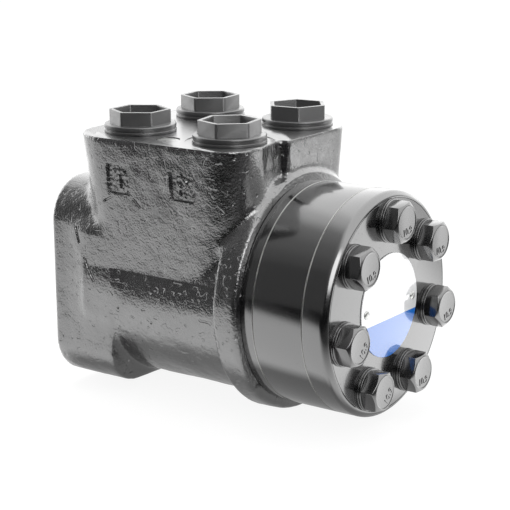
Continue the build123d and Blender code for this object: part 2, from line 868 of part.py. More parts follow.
def hex_bolt(angle):
    """One bolt at this angle: dished hexagon head, shank and plain stand-in for the thread."""
    y, z = on_circle(bolt_circle / 2, angle)
    corner = bolt_head_flats / sqrt(3)
    with BuildPart() as bolt:
        with BuildSketch(across(head_x)):
            with Locations((y, z)):
                RegularPolygon(bolt_head_flats / 2, 6, major_radius=False, rotation=angle)
        extrude(amount=bolt_head_height)
        with BuildSketch(Plane(origin=(head_x, y, z), x_dir=(1, 0, 0), z_dir=(0, 0, 1))):
            with BuildLine():
                Polyline(
                    (bolt_head_height - bolt_head_dish, corner + cut_margin),
                    (bolt_head_height - bolt_head_dish, corner),
                    (bolt_head_height, bolt_head_flats / 2),
                    (bolt_head_height + cut_margin, bolt_head_flats / 2),
                    (bolt_head_height + cut_margin, corner + cut_margin),
                    close=True,
                )
            make_face()
        revolve(axis=Axis((head_x, y, z), (1, 0, 0)), mode=Mode.SUBTRACT)
        with BuildSketch(across(housing_length)):
            with Locations((y, z)):
                Circle(bolt_shank_radius)
        extrude(amount=head_x - housing_length)
        with BuildSketch(across(housing_length)):
            with Locations((y, z)):
                Circle(bolt_thread_radius - running_gap)
        extrude(amount=-bolt_thread_length)
    return bolt.part


bolts = [hex_bolt(angle) for angle in bolt_angles]

with BuildPart() as cap_bolts:
    add(bolts[:pin_bolt_index] + bolts[pin_bolt_index + 1 :])
save(cap_bolts, "cap_bolts")

suction_ball_x = suction_seat_x + sqrt(suction_ball_radius**2 - suction_seat_radius**2) + seat_gap
pin_end = suction_ball_x + suction_ball_radius + suction_ball_travel + seat_gap

with BuildPart() as pin_bolt:
    add(bolts[pin_bolt_index])
    with BuildSketch(across(pin_end)):
        with Locations((suction_y, suction_z)):
            Circle(pin_bolt_pin_radius)
    extrude(amount=housing_length - pin_end)
save(pin_bolt, "pin_bolt")

with BuildPart() as suction_ball:
    with Locations((suction_ball_x, suction_y, suction_z)):
        Sphere(suction_ball_radius)
save(suction_ball, "suction_ball")

with BuildPart() as bolt_washers:
    with BuildSketch(across(cap_face)):
        with places(bolt_circle / 2, bolt_angles):
            Circle(bolt_washer_radius)
            Circle(bolt_hole_radius, mode=Mode.SUBTRACT)
    extrude(amount=bolt_washer_thickness)
save(bolt_washers, "bolt_washers")

# ---- name plate --------------------------------------------------------------------------------------

with BuildPart() as name_plate:
    with BuildSketch(across(cap_face)):
        Circle(name_plate_radius)
        with Locations(*rivet_places):
            Circle(rivet_radius + seat_gap, mode=Mode.SUBTRACT)
    extrude(amount=name_plate_thickness)
save(name_plate, "name_plate")

with BuildPart() as plate_rivets:
    rivet_head_x = cap_face + name_plate_thickness
    with BuildSketch(across(rivet_head_x)):
        with Locations(*rivet_places):
            Circle(rivet_head_radius)
    extrude(amount=rivet_head_height)
    chamfer(plate_rivets.faces().sort_by(Axis.X)[-2:].edges(), length=rivet_head_height / 2)
    with BuildSketch(across(rivet_head_x)):
        with Locations(*rivet_places):
            Circle(rivet_radius)
    extrude(amount=-(rivet_length - running_gap))
save(plate_rivets, "plate_rivets")

# ---- check valve ---------------------------------------------------------------------------------------

check_ball_z = check_floor + sqrt(check_ball_radius**2 - check_seat_radius**2) + seat_gap
check_bush_z = check_ball_z + check_ball_radius + check_ball_travel + seat_gap

with BuildPart() as check_ball:
    with Locations((check_x, -check_y, check_ball_z)):
        Sphere(check_ball_radius)
save(check_ball, "check_ball")

with BuildPart() as check_bush:
    with BuildSketch(Plane.XY.offset(check_bush_z)):
        with Locations((check_x, -check_y)):
            Circle(check_bore_radius - running_gap)
            Circle(check_bush_bore, mode=Mode.SUBTRACT)
    extrude(amount=check_bush_length)
    with BuildSketch(Plane.XY.offset(check_bush_z + check_bush_length)):
        with Locations((check_x, -check_y)):
            RegularPolygon(check_bush_hex_flats / 2, 6, major_radius=False)
    extrude(amount=-check_bush_length / 2, mode=Mode.SUBTRACT)
save(check_bush, "check_bush")

with BuildPart() as check_plug:
    check_plug_top = port_face_height - check_plug_recess
    with BuildSketch(Plane.XY.offset(check_plug_top)):
        with Locations((check_x, -check_y)):
            Circle(check_bore_radius - running_gap)
    extrude(amount=-check_plug_length)
    chamfer(check_plug.faces().sort_by(Axis.Z)[-1].edges(), length=small_chamfer)
save(check_plug, "check_plug")

# ---- shipping plugs --------------------------------------------------------------------------------------

for (name, x, y, offset), turn in zip(ports, plug_turns):
    seat = port_face_height - (spot_face_depth if name == "pressure" else 0)
    with BuildPart() as plug:
        # thin lip, a line round the flange's edge, and the flange proper
        lip = plug_flange_height / 3
        with BuildSketch(Plane.XY.offset(seat)):
            with Locations((x, y)):
                Circle(plug_flange_radius)
        extrude(amount=plug_flange_height)
        with BuildSketch(Plane.XY.offset(seat + lip)):
            with Locations((x, y)):
                Circle(plug_flange_radius + cut_margin)
                Circle(plug_flange_radius - plug_groove_depth, mode=Mode.SUBTRACT)
        extrude(amount=lip / 2, mode=Mode.SUBTRACT)
        # hollow hexagon
        with BuildSketch(Plane.XY.offset(seat + plug_flange_height)):
            with Locations((x, y)):
                RegularPolygon(plug_hex_corner_radius, 6, rotation=turn)
        extrude(amount=plug_height - plug_flange_height)
        # plain stem in the port's thread
        with BuildSketch(Plane.XY.offset(seat)):
            with Locations((x, y)):
                Circle(port_bore_radius - running_gap)
        extrude(amount=-plug_stem_length)
        # hollow, open at the top and closed at the stem's end
        with BuildSketch(Plane.XY.offset(seat + plug_height)):
            with Locations((x, y)):
                hollow_radius = plug_hex_corner_radius - plug_wall / cos(pi / 6)
                RegularPolygon(hollow_radius, 6, rotation=turn)
        extrude(amount=-(plug_height - plug_wall), mode=Mode.SUBTRACT)
        with BuildSketch(Plane.XY.offset(seat + plug_wall)):
            with Locations((x, y)):
                Circle(plug_stem_bore)
        extrude(amount=-plug_stem_length, mode=Mode.SUBTRACT)
    save(plug, f"plug_{name}")
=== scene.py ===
# %% [markdown]
# # Orbital steering unit
# A steering unit turns oil instead of a shaft: the driver's wheel turns a spool inside a cast
# iron housing, and the round gear set under the seven bolts measures the oil out. The frame
# brings every piece at its real size. This script gives each one the look of the real thing:
# rough cast iron under gloss black paint, smooth painted steel discs, black bolts and soft
# plastic shipping plugs.

# %% Load the frame
import json
import math

import bmesh
import bpy
import numpy as np
from mathutils import Matrix, Vector, noise


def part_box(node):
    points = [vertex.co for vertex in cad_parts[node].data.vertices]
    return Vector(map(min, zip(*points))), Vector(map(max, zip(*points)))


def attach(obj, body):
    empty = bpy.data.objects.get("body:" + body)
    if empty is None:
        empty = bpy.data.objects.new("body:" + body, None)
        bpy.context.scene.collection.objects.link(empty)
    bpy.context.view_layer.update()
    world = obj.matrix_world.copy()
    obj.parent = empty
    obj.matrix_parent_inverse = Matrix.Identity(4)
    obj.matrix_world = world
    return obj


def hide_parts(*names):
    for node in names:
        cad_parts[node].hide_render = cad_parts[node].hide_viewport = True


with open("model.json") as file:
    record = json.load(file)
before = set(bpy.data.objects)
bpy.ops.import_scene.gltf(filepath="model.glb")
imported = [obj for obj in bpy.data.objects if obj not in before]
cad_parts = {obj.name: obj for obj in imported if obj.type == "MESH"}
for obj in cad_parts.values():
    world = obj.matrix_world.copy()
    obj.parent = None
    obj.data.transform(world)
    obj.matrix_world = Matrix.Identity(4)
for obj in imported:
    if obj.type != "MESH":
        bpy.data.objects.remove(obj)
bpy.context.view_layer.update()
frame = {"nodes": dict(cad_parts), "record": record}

# %% [markdown]
# ## Sizes
# The script thinks in millimetres, as a workshop does, and turns them to metres only when a
# mesh is made. What the frame can tell is read from the frame, so the looks follow the part.

# %% Sizes read from the frame
MM = 0.001


def box_mm(node):
    """The lowest and highest corner of a CAD node, in millimetres."""
    low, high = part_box(node)
    return [c / MM for c in low], [c / MM for c in high]


housing_low, housing_high = box_mm("housing")
plate_low, plate_high = box_mm("distributor_plate")
ring_low, ring_high = box_mm("stator_ring")
cap_low, cap_high = box_mm("end_cap")
label_low, label_high = box_mm("name_plate")
pin_low, pin_high = box_mm("pin_bolt")

stack_radius = ring_high[1]
gear_face = plate_low[0]
cap_face = cap_high[0]
head_seat = box_mm("bolt_washers")[1][0]
head_top = pin_high[0]
port_face = housing_high[2]
floor_level = housing_low[2]
bolt_circle_radius = 39.0
bolt_count = 7
bolt_angles = [math.radians(90 + 360 / bolt_count * k) for k in range(bolt_count)]
pin_bolt_index = 3
ports = {
    "tank": (39.3, -27.0, 32.3),
    "pressure": (91.5, -27.0, 42.2),
    "left": (39.3, 27.0, 36.3),
    "right": (91.5, 27.0, 6.5),
}  # x, y and the turn of the plug's hexagon in degrees
print("stack radius", round(stack_radius, 2), "gear face", gear_face, "cap face", cap_face)

# %% [markdown]
# ## Helpers for shapes
# Nearly every piece of this unit was turned on a lathe, drilled or sawn from bar. So the
# helpers are a lathe, a prism, an eased corner and a cutter, and each piece is a few calls.


# %% Mesh helpers
def made_mesh(name, points, faces):
    """A mesh from points in millimetres, its faces turned outwards."""
    mesh = bpy.data.meshes.new(name)
    mesh.from_pydata([tuple(c * MM for c in p) for p in points], [], faces)
    work = bmesh.new()
    work.from_mesh(mesh)
    bmesh.ops.recalc_face_normals(work, faces=work.faces)
    work.to_mesh(mesh)
    work.free()
    return mesh


def shown(name, mesh):
    """An object at the origin that holds this mesh."""
    thing = bpy.data.objects.new(name, mesh)
    bpy.context.scene.collection.objects.link(thing)
    return thing


def solid(name, shape):
    """An object at the origin with this shape, which is its points and its faces."""
    return shown(name, made_mesh(name, *shape))


def on_circle(radius, angle):
    return radius * math.cos(angle), radius * math.sin(angle)


def eased(corners, closed=False, steps=4):
    """The outline through corners of (a, b, ease), each corner rounded off over its ease."""
    outline = []
    for k, (a, b, ease) in enumerate(corners):
        here = np.array((a, b))
        before = np.array(corners[k - 1][:2])
        after = np.array(corners[(k + 1) % len(corners)][:2])
        end = k in (0, len(corners) - 1) and not closed
        if ease == 0 or end:
            outline.append((a, b))
            continue
        start = here + (before - here) / np.linalg.norm(before - here) * ease
        finish = here + (after - here) / np.linalg.norm(after - here) * ease
        for s in np.linspace(0, 1, steps + 1):
            point = (1 - s) ** 2 * start + 2 * s * (1 - s) * here + s**2 * finish
            outline.append(tuple(point))
    return outline


def lathed(outline, closed=False, steps=192, axis="X", centre=(0, 0)):
    """Points and faces of an outline of (place along the axis, radius), turned about it."""
    points, rings = [], []
    for along, radius in outline:
        first = len(points)
        turns = 1 if radius < 1e-6 else steps
        for k in range(turns):
            angle = 2 * math.pi * k / steps
            u, v = (middle + c for middle, c in zip(centre, on_circle(radius, angle)))
            points.append((along, u, v) if axis == "X" else (u, v, along))
        rings.append([first + k % turns for k in range(steps)])
    pairs = list(zip(rings, rings[1:]))
    if closed:
        pairs.append((rings[-1], rings[0]))
    faces = []
    for lower, upper in pairs:
        for k in range(steps):
            n = (k + 1) % steps
            face = [lower[k], lower[n], upper[n], upper[k]]
            faces.append([c for i, c in enumerate(face) if c not in face[:i]])
    return points, [f for f in faces if len(f) > 2]


def lofted(lower, upper, place):
    """Points and faces between two outlines of as many points, each put in space by place."""
    count = len(lower)
    points = [place(0, a, b) for a, b in lower] + [place(1, a, b) for a, b in upper]
    faces = [[k, (k + 1) % count, count + (k + 1) % count, count + k] for k in range(count)]
    faces += [list(range(count))[::-1], list(range(count, 2 * count))]
    return points, faces


def prism(outline, start, end, axis="X"):
    """Points and faces of an outline drawn out along X or Z."""

    def place(level, a, b):
        along = end if level else start
        return (along, a, b) if axis == "X" else (a, b, along)

    return lofted(outline, outline, place)


def final_mesh(thing):
    """The thing's mesh with its modifiers worked in."""
    graph = bpy.context.evaluated_depsgraph_get()
    graph.update()
    return bpy.data.meshes.new_from_object(thing.evaluated_get(graph), depsgraph=graph)


def bake_modifiers(thing):
    """Works the thing's modifiers into its mesh."""
    mesh = final_mesh(thing)
    thing.modifiers.clear()
    thing.data = mesh
    return thing


def combine(thing, others, operation="DIFFERENCE"):
    """Cuts others away from thing, joins them to it or keeps what they share."""
    for other in others:
        step = thing.modifiers.new("step", "BOOLEAN")
        step.operation = operation
        step.solver = "MANIFOLD"
        step.object = other
        bake_modifiers(thing)
        bpy.data.objects.remove(other)
    return thing


def rod(start, end, radius, steps=48):
    """A plain round cutter between two points."""
    start, end = Vector(start), Vector(end)
    length = (end - start).length
    points, faces = lathed([(0, 0), (0, radius), (length, radius), (length, 0)], steps=steps)
    turn = Vector((1, 0, 0)).rotation_difference(end - start).to_matrix()
    return solid("cutter", ([tuple(turn @ Vector(p) + start) for p in points], faces))


def soften(thing, width, segments=2, angle=30):
    """Breaks the sharp edges by a small bevel, as a file or the mould does."""
    step = thing.modifiers.new("edges", "BEVEL")
    step.width = width * MM
    step.segments = segments
    step.limit_method = "ANGLE"
    step.angle_limit = math.radians(angle)
    return bake_modifiers(thing)


def smooth(thing, angle=32):
    """Smooth shading that stays sharp at edges steeper than angle."""
    thing.data.polygons.foreach_set("use_smooth", [True] * len(thing.data.polygons))
    thing.data.set_sharp_from_angle(angle=math.radians(angle))
    return thing


def rounded_box(low_a, high_a, low_b, high_b, radii, steps=8):
    """An outline with true quarter arcs, from the low-low corner round by the high-low one."""
    corners = (
        (low_a, low_b, 180), (high_a, low_b, 270), (high_a, high_b, 0), (low_a, high_b, 90)
    )
    outline = []
    for (edge_a, edge_b, first), radius in zip(corners, radii):
        middle_a = edge_a + radius if edge_a == low_a else edge_a - radius
        middle_b = edge_b + radius if edge_b == low_b else edge_b - radius
        for k in range(steps + 1):
            a, b = on_circle(radius, math.radians(first + 90 * k / steps))
            outline.append((middle_a + a, middle_b + b))
    return outline


def finished(thing, slot, body, *nodes):
    """Dresses a piece in its slot's finish, lets it ride on its body and stand for CAD nodes."""
    thing.data.materials.clear()
    thing.data.materials.append(finishes[slot])
    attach(thing, body)
    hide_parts(*nodes)
    print(thing.name, "faces", len(thing.data.polygons))
    return thing


# %% [markdown]
# ## Helpers for materials
# A finish is a colour, a gloss and a grain. The colour and gloss sit on the shader's own
# sockets. The grain is noise in real millimetres, read from the Object coordinates, so it
# stays on the piece however the piece is turned.


# %% Material helpers
def linear(hex_colour):
    """The linear colour of an sRGB hex value."""
    parts = [int(hex_colour[k : k + 2], 16) / 255 for k in (1, 3, 5)]
    return [c / 12.92 if c <= 0.04045 else ((c + 0.055) / 1.055) ** 2.4 for c in parts] + [1]


def feed(tree, node, **inputs):
    """Gives a node's inputs, by name or as i0 and i1, their values, sockets or nodes."""
    for key, value in inputs.items():
        numbered = key[0] == "i" and key[1:].isdigit()
        socket = node.inputs[int(key[1:]) if numbered else key.replace("_", " ")]
        if isinstance(value, bpy.types.Node):
            value = value.outputs[0]
        if isinstance(value, bpy.types.NodeSocket):
            tree.links.new(value, socket)
        else:
            socket.default_value = value


def add(tree, kind, settings=None, **inputs):
    """Adds a node of this kind, with its settings and its inputs."""
    node = tree.nodes.new(kind)
    for key, value in (settings or {}).items():
        setattr(node, key, value)
    feed(tree, node, **inputs)
    return node


def finish(name, colour, roughness, **more):
    """A new material with one Principled shader, and its node tree and shader."""
    material = bpy.data.materials.new(name)
    material.use_nodes = True
    tree = material.node_tree
    shader = tree.nodes["Principled BSDF"]
    feed(tree, shader, Base_Color=linear(colour), Roughness=roughness, **more)
    return material, tree, shader


def grain(tree, size_mm, detail=3.0, rough=0.5, stretch=(1, 1, 1)):
    """Noise whose lumps are about size_mm wide."""
    place = add(tree, "ShaderNodeTexCoord")
    sized = add(
        tree, "ShaderNodeMapping", Vector=place.outputs["Object"],
        Scale=[s / (size_mm * MM) for s in stretch],
    )
    return add(
        tree, "ShaderNodeTexNoise", Vector=sized.outputs[0], Scale=1.0, Detail=detail,
        Roughness=rough,
    ).outputs["Fac"]


def uneven_gloss(tree, lump_mm, low, high):
    """A roughness that wanders between low and high over lumps of this size."""
    return add(
        tree, "ShaderNodeMapRange", Value=grain(tree, lump_mm, 2.0), From_Min=0.3,
        From_Max=0.7, To_Min=low, To_Max=high,
    )


# %% [markdown]
# ## Finishes
# Gloss black enamel covers everything but the plugs and the label. On the casting it runs over
# sand-mould skin: lumps of one to three millimetres, with a few deeper pits. On the turned discs
# the same paint lies nearly flat, with a faint orange peel. A black gloss paint gets all of its
# light from reflections, so its specular level is high and its base is almost black.


# %% Paint on the casting: sprayed enamel over sand-cast iron
def cast_enamel():
    material, tree, shader = finish(
        "enamel_on_cast_iron", "#1b1b1c", 0.22, IOR=1.8, Specular_IOR_Level=1.0,
        Coat_Weight=0.8, Coat_Roughness=0.12, Coat_IOR=1.5,
    )
    lumps = add(tree, "ShaderNodeBump", Height=grain(tree, 3.2, 1.0), Distance=0.2 * MM)
    sand = add(
        tree, "ShaderNodeBump", Height=grain(tree, 0.9, 1.5, 0.4), Distance=0.2 * MM,
        Normal=lumps,
    )
    specks = add(
        tree, "ShaderNodeMapRange", Value=grain(tree, 2.8, 0.0), From_Min=0.66, From_Max=0.74
    )
    pits = add(tree, "ShaderNodeBump", Height=specks, Distance=-0.24 * MM, Normal=sand)
    feed(tree, shader, Normal=pits, Roughness=uneven_gloss(tree, 9.0, 0.18, 0.28))
    return material


# %% Paint on the milled port face: the same enamel lies smoother there
def milled_enamel():
    material, tree, shader = finish(
        "enamel_on_milled_iron", "#1c1c1d", 0.3, IOR=2.1, Specular_IOR_Level=1.0,
        Coat_Weight=0.8, Coat_Roughness=0.25, Coat_IOR=1.9,
    )
    peel = add(tree, "ShaderNodeBump", Height=grain(tree, 2.6, 2.0), Distance=0.05 * MM)
    feed(tree, shader, Normal=peel)
    return material


# %% Paint on the discs: sprayed enamel over turned steel, with specks of dust in it
def disc_enamel():
    material, tree, shader = finish(
        "enamel_on_turned_steel", "#0c0c0d", 0.16, IOR=1.8, Specular_IOR_Level=1.0,
        Coat_Weight=0.5, Coat_Roughness=0.05, Coat_IOR=1.5,
    )
    peel = add(tree, "ShaderNodeBump", Height=grain(tree, 3.2, 1.5), Distance=0.012 * MM)
    specks = add(
        tree, "ShaderNodeMapRange", Value=grain(tree, 0.9, 1.0), From_Min=0.74, From_Max=0.8
    )
    dust = add(tree, "ShaderNodeBump", Height=specks, Distance=0.03 * MM, Normal=peel)
    feed(tree, shader, Normal=dust)
    return material


# %% Paint on bolts and washers: thin enamel over black oxide
def bolt_enamel():
    material, tree, shader = finish(
        "enamel_on_bolts", "#121213", 0.2, IOR=1.75, Specular_IOR_Level=0.95,
        Coat_Weight=0.4, Coat_Roughness=0.1, Coat_IOR=1.5,
    )
    peel = add(tree, "ShaderNodeBump", Height=grain(tree, 1.6, 2.0), Distance=0.03 * MM)
    feed(tree, shader, Normal=peel)
    return material


# %% Shipping plugs: moulded black polyethylene, a soft sheen and faint flow marks
def plug_polyethylene():
    material, tree, shader = finish(
        "black_polyethylene", "#29292a", 0.36, IOR=1.55, Specular_IOR_Level=1.0,
        Coat_Weight=0.7, Coat_Roughness=0.22, Coat_IOR=1.6,
    )
    flow = grain(tree, 2.2, 2.0, stretch=(1, 1, 3))
    marks = add(tree, "ShaderNodeBump", Height=flow, Distance=0.03 * MM)
    feed(tree, shader, Normal=marks, Roughness=uneven_gloss(tree, 6.0, 0.36, 0.5))
    return material


# %% Label: printed aluminium foil under clear varnish, white above a line and blue below it
label_line = -6.3 * MM  # Z of the line, just below the main axis
label_white, label_blue = "#f4f5f6", "#1274d6"


def label_foil():
    """Two inks, parted by a line that is a tenth of a millimetre soft."""
    material, tree, shader = finish(
        "printed_foil", label_white, 0.3, IOR=1.5, Coat_Weight=1.0, Coat_Roughness=0.04,
        Coat_IOR=2.1,
    )
    place = add(tree, "ShaderNodeTexCoord")
    height = add(tree, "ShaderNodeSeparateXYZ", Vector=place.outputs["Object"]).outputs["Z"]
    edge = 0.08 * MM
    white = add(
        tree, "ShaderNodeMapRange", Value=height, From_Min=label_line - edge,
        From_Max=label_line + edge,
    )
    ink = add(
        tree, "ShaderNodeMix", {"data_type": "RGBA"}, Factor=white, i6=linear(label_blue),
        i7=linear(label_white),
    )
    foil = add(tree, "ShaderNodeBump", Height=grain(tree, 5.0, 1.0), Distance=0.006 * MM)
    feed(tree, shader, Base_Color=ink.outputs[2], Coat_Normal=foil)
    return material


# %% Bare metal: ground, rolled and polished steel differ in gloss and in the cutter's grain
def bare_steel(name, colour, roughness, grain_mm, depth_mm):
    material, tree, shader = finish(name, colour, roughness, Metallic=1.0)
    cuts = grain(tree, grain_mm, 3.0, stretch=(6, 1, 1))
    lines = add(tree, "ShaderNodeBump", Height=cuts, Distance=depth_mm * MM)
    gloss = uneven_gloss(tree, 7.0, roughness * 0.8, roughness * 1.25)
    feed(tree, shader, Normal=lines, Roughness=gloss)
    return material


def rubber(name, colour, roughness):
    material, tree, shader = finish(name, colour, roughness, IOR=1.52)
    skin = add(tree, "ShaderNodeBump", Height=grain(tree, 0.6, 2.0), Distance=0.02 * MM)
    feed(tree, shader, Normal=skin)
    return material


# %% A finish for each slot of the frame, and three for parts of a piece
finishes = {
    "cast_black": cast_enamel(),
    "gloss_black": disc_enamel(),
    "black_bolt": bolt_enamel(),
    "plug_plastic": plug_polyethylene(),
    "plate_foil": label_foil(),
    "rivet_steel": bare_steel("rivet_steel", "#b9bab8", 0.32, 0.8, 0.01),
    "ground_steel": bare_steel("ground_steel", "#a9aba9", 0.22, 0.5, 0.004),
    "spring_steel": bare_steel("blued_spring_steel", "#5b5f6b", 0.3, 1.2, 0.004),
    "bearing_steel": bare_steel("bearing_steel", "#c3c5c4", 0.14, 0.4, 0.002),
    "nitrile": rubber("nitrile_rubber", "#161616", 0.55),
    "glide_plastic": rubber("filled_ptfe", "#6a5a3c", 0.45),
}
milled_paint = milled_enamel()
# A painted highlight: bright bare steel put on the rim edges where the discs meet.
seam_highlight_steel = bare_steel("painted_seam_highlight_steel", "#9a9a98", 0.38, 0.8, 0.01)
bare_iron = bare_steel("bored_iron", "#6f7072", 0.34, 0.6, 0.01)
print("finishes", len(finishes) + 3)

# %% Finishes on the CAD nodes that stay as they are
for entry in frame["record"]["subparts"]:
    node = frame["nodes"][entry["node"]]
    node.data.materials.clear()
    node.data.materials.append(finishes[entry["material_slot"]])

# %% [markdown]
# ## The casting
# The housing was poured in a sand mould, so nothing on it is truly flat and inner corners are
# filled with soft metal. It could be modelled face by face, but melting is closer to how the
# pattern was made: four plain bodies are put together, a voxel remesh makes one skin of them,
# and relaxing the skin fills the hollows first and then rounds the edges. The machined faces
# and bores are cut last, so they stay crisp.

# %% Four bodies of the pattern
body_start, body_radius = 20.0, 51.0
flange_radius = housing_high[1]
flange_start = gear_face - 12.5
flange_chamfer = 1.2
mount_length, mount_half, mount_swell, mount_corner = 35.0, 46.2, 1.8, 19.0
mount_low, mount_high = -51.5, 47.0
block = {"left": 14.5, "right": 113.5, "front": -53.5, "back": 43.0, "foot": 10.0}
block_lean = 3.4  # how far each wall of the port block leans in from the port face to the foot
over = 0.6  # how far the pattern stands over each face that is machined later


def mount_outline():
    """The square end, with round corners and sides that swell a little."""
    middle, reach = (mount_low + mount_high) / 2, (mount_high - mount_low) / 2
    outline = rounded_box(
        -mount_half, mount_half, mount_low, mount_high, (mount_corner,) * 4, steps=12
    )
    swell = mount_swell / mount_half
    return [(y * (1 + swell * (1 - ((z - middle) / reach) ** 2)), z) for y, z in outline]


mount_body = solid("mount", prism(mount_outline(), -over, mount_length))
round_body = solid(
    "round",
    lathed([(body_start, 0), (body_start, body_radius), (gear_face, body_radius), (gear_face, 0)]),
)
flange_body = solid(
    "flange",
    lathed([
        (flange_start, 0), (flange_start, flange_radius),
        (gear_face - flange_chamfer, flange_radius),
        (gear_face + over, flange_radius - flange_chamfer - over), (gear_face + over, 0),
    ]),
)


def block_place(level, x, y):
    """The port block's outlines lie level: one at its foot and one over the port face."""
    return (x, y, port_face + over if level else block["foot"])


top_outline = rounded_box(
    block["left"], block["right"], block["front"], block["back"], (22, 14, 14, 14)
)
foot_outline = rounded_box(
    block["left"] + block_lean, block["right"] - block_lean,
    block["front"] + block_lean, block["back"] - block_lean, (26, 26, 14, 14),
)
port_block = solid("block", lofted(foot_outline, top_outline, block_place))

# A groove runs down the block's end wall: a slow slope in from the front and a sharp step out
groove_depth, groove_front, groove_step = 4.5, -33.0, -12.0
groove_floor = block["right"] - groove_depth
side_groove = eased(
    [(block["right"] + 3, groove_front - 3, 0), (block["right"], groove_front, 3),
     (groove_floor, -22, 8), (groove_floor, groove_step, 0.5),
     (block["right"] + 3, groove_step, 0)],
    closed=True,
)
combine(port_block, [solid("groove", prism(side_groove, block["foot"] - 1, port_face + 3, "Z"))])
print("pattern bodies ready")

# %% Melt them into one skin
voxel = 1.0
casting = combine(mount_body, [round_body, port_block, flange_body], "UNION")
casting.name = "housing_casting"
remesh = casting.modifiers.new("skin", "REMESH")
remesh.mode = "VOXEL"
remesh.voxel_size = voxel * MM
bake_modifiers(casting)
print("skin points", len(casting.data.vertices))


# %% Relax the skin
def points_of(mesh):
    flat = np.empty(len(mesh.vertices) * 3)
    mesh.vertices.foreach_get("co", flat)
    return flat.reshape(-1, 3) / MM


def normals_of(mesh):
    flat = np.empty(len(mesh.vertices) * 3)
    mesh.vertices.foreach_get("normal", flat)
    return flat.reshape(-1, 3)


def put_points(mesh, points):
    mesh.vertices.foreach_set("co", (points * MM).ravel())
    mesh.update()


def ramp_up(value, low, high):
    """0 below low, 1 above high, and smooth between them."""
    t = np.clip((value - low) / (high - low), 0, 1)
    return t * t * (3 - 2 * t)


def neighbour_mean(points, ends, degree):
    """The mean place of each point's neighbours."""
    mean = np.empty_like(points)
    for axis in range(3):
        column = points[:, axis]
        mean[:, axis] = np.bincount(ends[:, 0], column[ends[:, 1]], len(points))
        mean[:, axis] += np.bincount(ends[:, 1], column[ends[:, 0]], len(points))
    return mean / degree[:, None]


def relax(mesh, rounds, weight, fill_only):
    """Moves each point towards its neighbours' mean: outwards only, where it fills hollows."""
    flat = np.empty(len(mesh.edges) * 2, int)
    mesh.edges.foreach_get("vertices", flat)
    ends = flat.reshape(-1, 2)
    degree = np.bincount(ends.ravel(), minlength=len(mesh.vertices)).astype(float)
    points = points_of(mesh)
    for number in range(rounds):
        if number % 6 == 0:
            put_points(mesh, points)
            normals = normals_of(mesh)
        step = (neighbour_mean(points, ends, degree) - points) * 0.6
        if fill_only:
            out = (step * normals).sum(1)
            step = step - normals * np.minimum(out, 0)[:, None]
        points = points + step * weight[:, None]
    put_points(mesh, points)


# Inner corners fill least at the groove's step, behind the square end and at the flange
x, y, z = points_of(casting.data).T
near_flange = ramp_up(x, flange_start - 5, flange_start - 1)
near_step = (x > 105) & (np.abs(y - groove_step + 1) < 5)
near_rear = (np.abs(x - mount_length) < 7) & (z < -5)
fill = np.where(near_step, 0.1, np.where(near_rear, 0.3, 1 - 0.8 * near_flange))
relax(casting.data, 26, fill, True)
relax(casting.data, 4, np.ones(len(x)), False)

# The groove's slow slope has no edge where it starts
slope = ramp_up(x, 106, 108) * (1 - ramp_up(np.abs(y - groove_front - 4), 8, 12))
relax(casting.data, 14, slope * (1 - ramp_up(z, port_face - 8, port_face - 4)), False)


# %% [markdown]
# ## Marks in the casting
# Under the front wall the pattern is hollowed along the round body. The port letters T and P
# stand in small sunk panels, from blocks set into the pattern, and the skin has a few knocks.
# The mesh is made finer there and moved in or out by about a millimetre, so that they are real
# shape.


# %% Hollow under the front wall and the uneven skin of the mould
hollow_starts, hollow_full, hollow_depth, hollow_low = 36.5, 46.0, 2.6, -12.0


def blend_and_sway(mesh):
    """Brings the square end's front flush with the block, and lets the skin wave a little."""
    points, normals = points_of(mesh), normals_of(mesh)
    x, y, z = points.T
    block_height = port_face - block["foot"]
    block_plane = block["front"] + block_lean * np.clip((port_face - z) / block_height, 0, 1)
    ends_at = np.where(z > block["foot"] - 1, hollow_full, mount_length)
    flush = ramp_up(x, 5, 26) * (1 - ramp_up(x - ends_at, 0, 4)) * ramp_up(z, -30, 6)
    flush *= (1 - ramp_up(z, 24, 34)) * (y < -40)
    points[:, 1] += flush * np.minimum(block_plane - y, 0)
    sway = np.array([
        0.28 * noise.noise(Vector(p) / 14) + 0.12 * noise.noise(Vector(p) / 4.5)
        for p in points
    ])
    on_rim = ramp_up(x, gear_face - 12, gear_face - 8) * (z < 60) * (np.hypot(y, z) > 54)
    machined = np.maximum.reduce(
        [1 - ramp_up(x, 0.2, 2), on_rim, ramp_up(z, port_face - 2, port_face - 0.2)]
    )
    points += normals * (sway * (1 - machined))[:, None]
    put_points(mesh, points)


blend_and_sway(casting.data)

# The hollow is cut, so that the front wall ends in a crisp edge above it
def hollow_section(depth):
    """The hollow in the Y-Z plane, from the wall's foot down to where it meets the body."""
    foot, outside = block["foot"], -58
    section = [(outside, foot)]
    for fade in np.linspace(0, 1, 11):
        z = foot + (hollow_low - foot) * fade
        body_side = -math.sqrt(body_radius**2 - z * z)
        section.append((body_side + depth * (1 - fade) ** 1.3 - 0.5 * fade, z))
    return section + [(outside, hollow_low)]


full = hollow_section(hollow_depth)
runs_in = lofted(
    hollow_section(-0.6), full,
    lambda level, y, z: (hollow_full if level else hollow_starts, y, z),
)
runs_on = prism(full, hollow_full - 0.01, flange_start - 0.5)
combine(casting, [solid("hollow", part) for part in (runs_in, runs_on)])
print("casting with hollow", len(casting.data.vertices))


# %% Port letters and knocks
def box_depth(u, v, low_u, high_u, low_v, high_v, edge=0.35):
    """1 inside a rectangle, 0 outside, and smooth over its edge."""
    inside = np.minimum.reduce([u - low_u, high_u - u, v - low_v, high_v - v])
    return ramp_up(inside, -edge, edge)


def letter_t(u, v):
    bar = box_depth(u, v, -3.6, 3.6, 2.4, 4.4)
    return np.maximum(bar, box_depth(u, v, -1.0, 1.0, -4.4, 4.4))


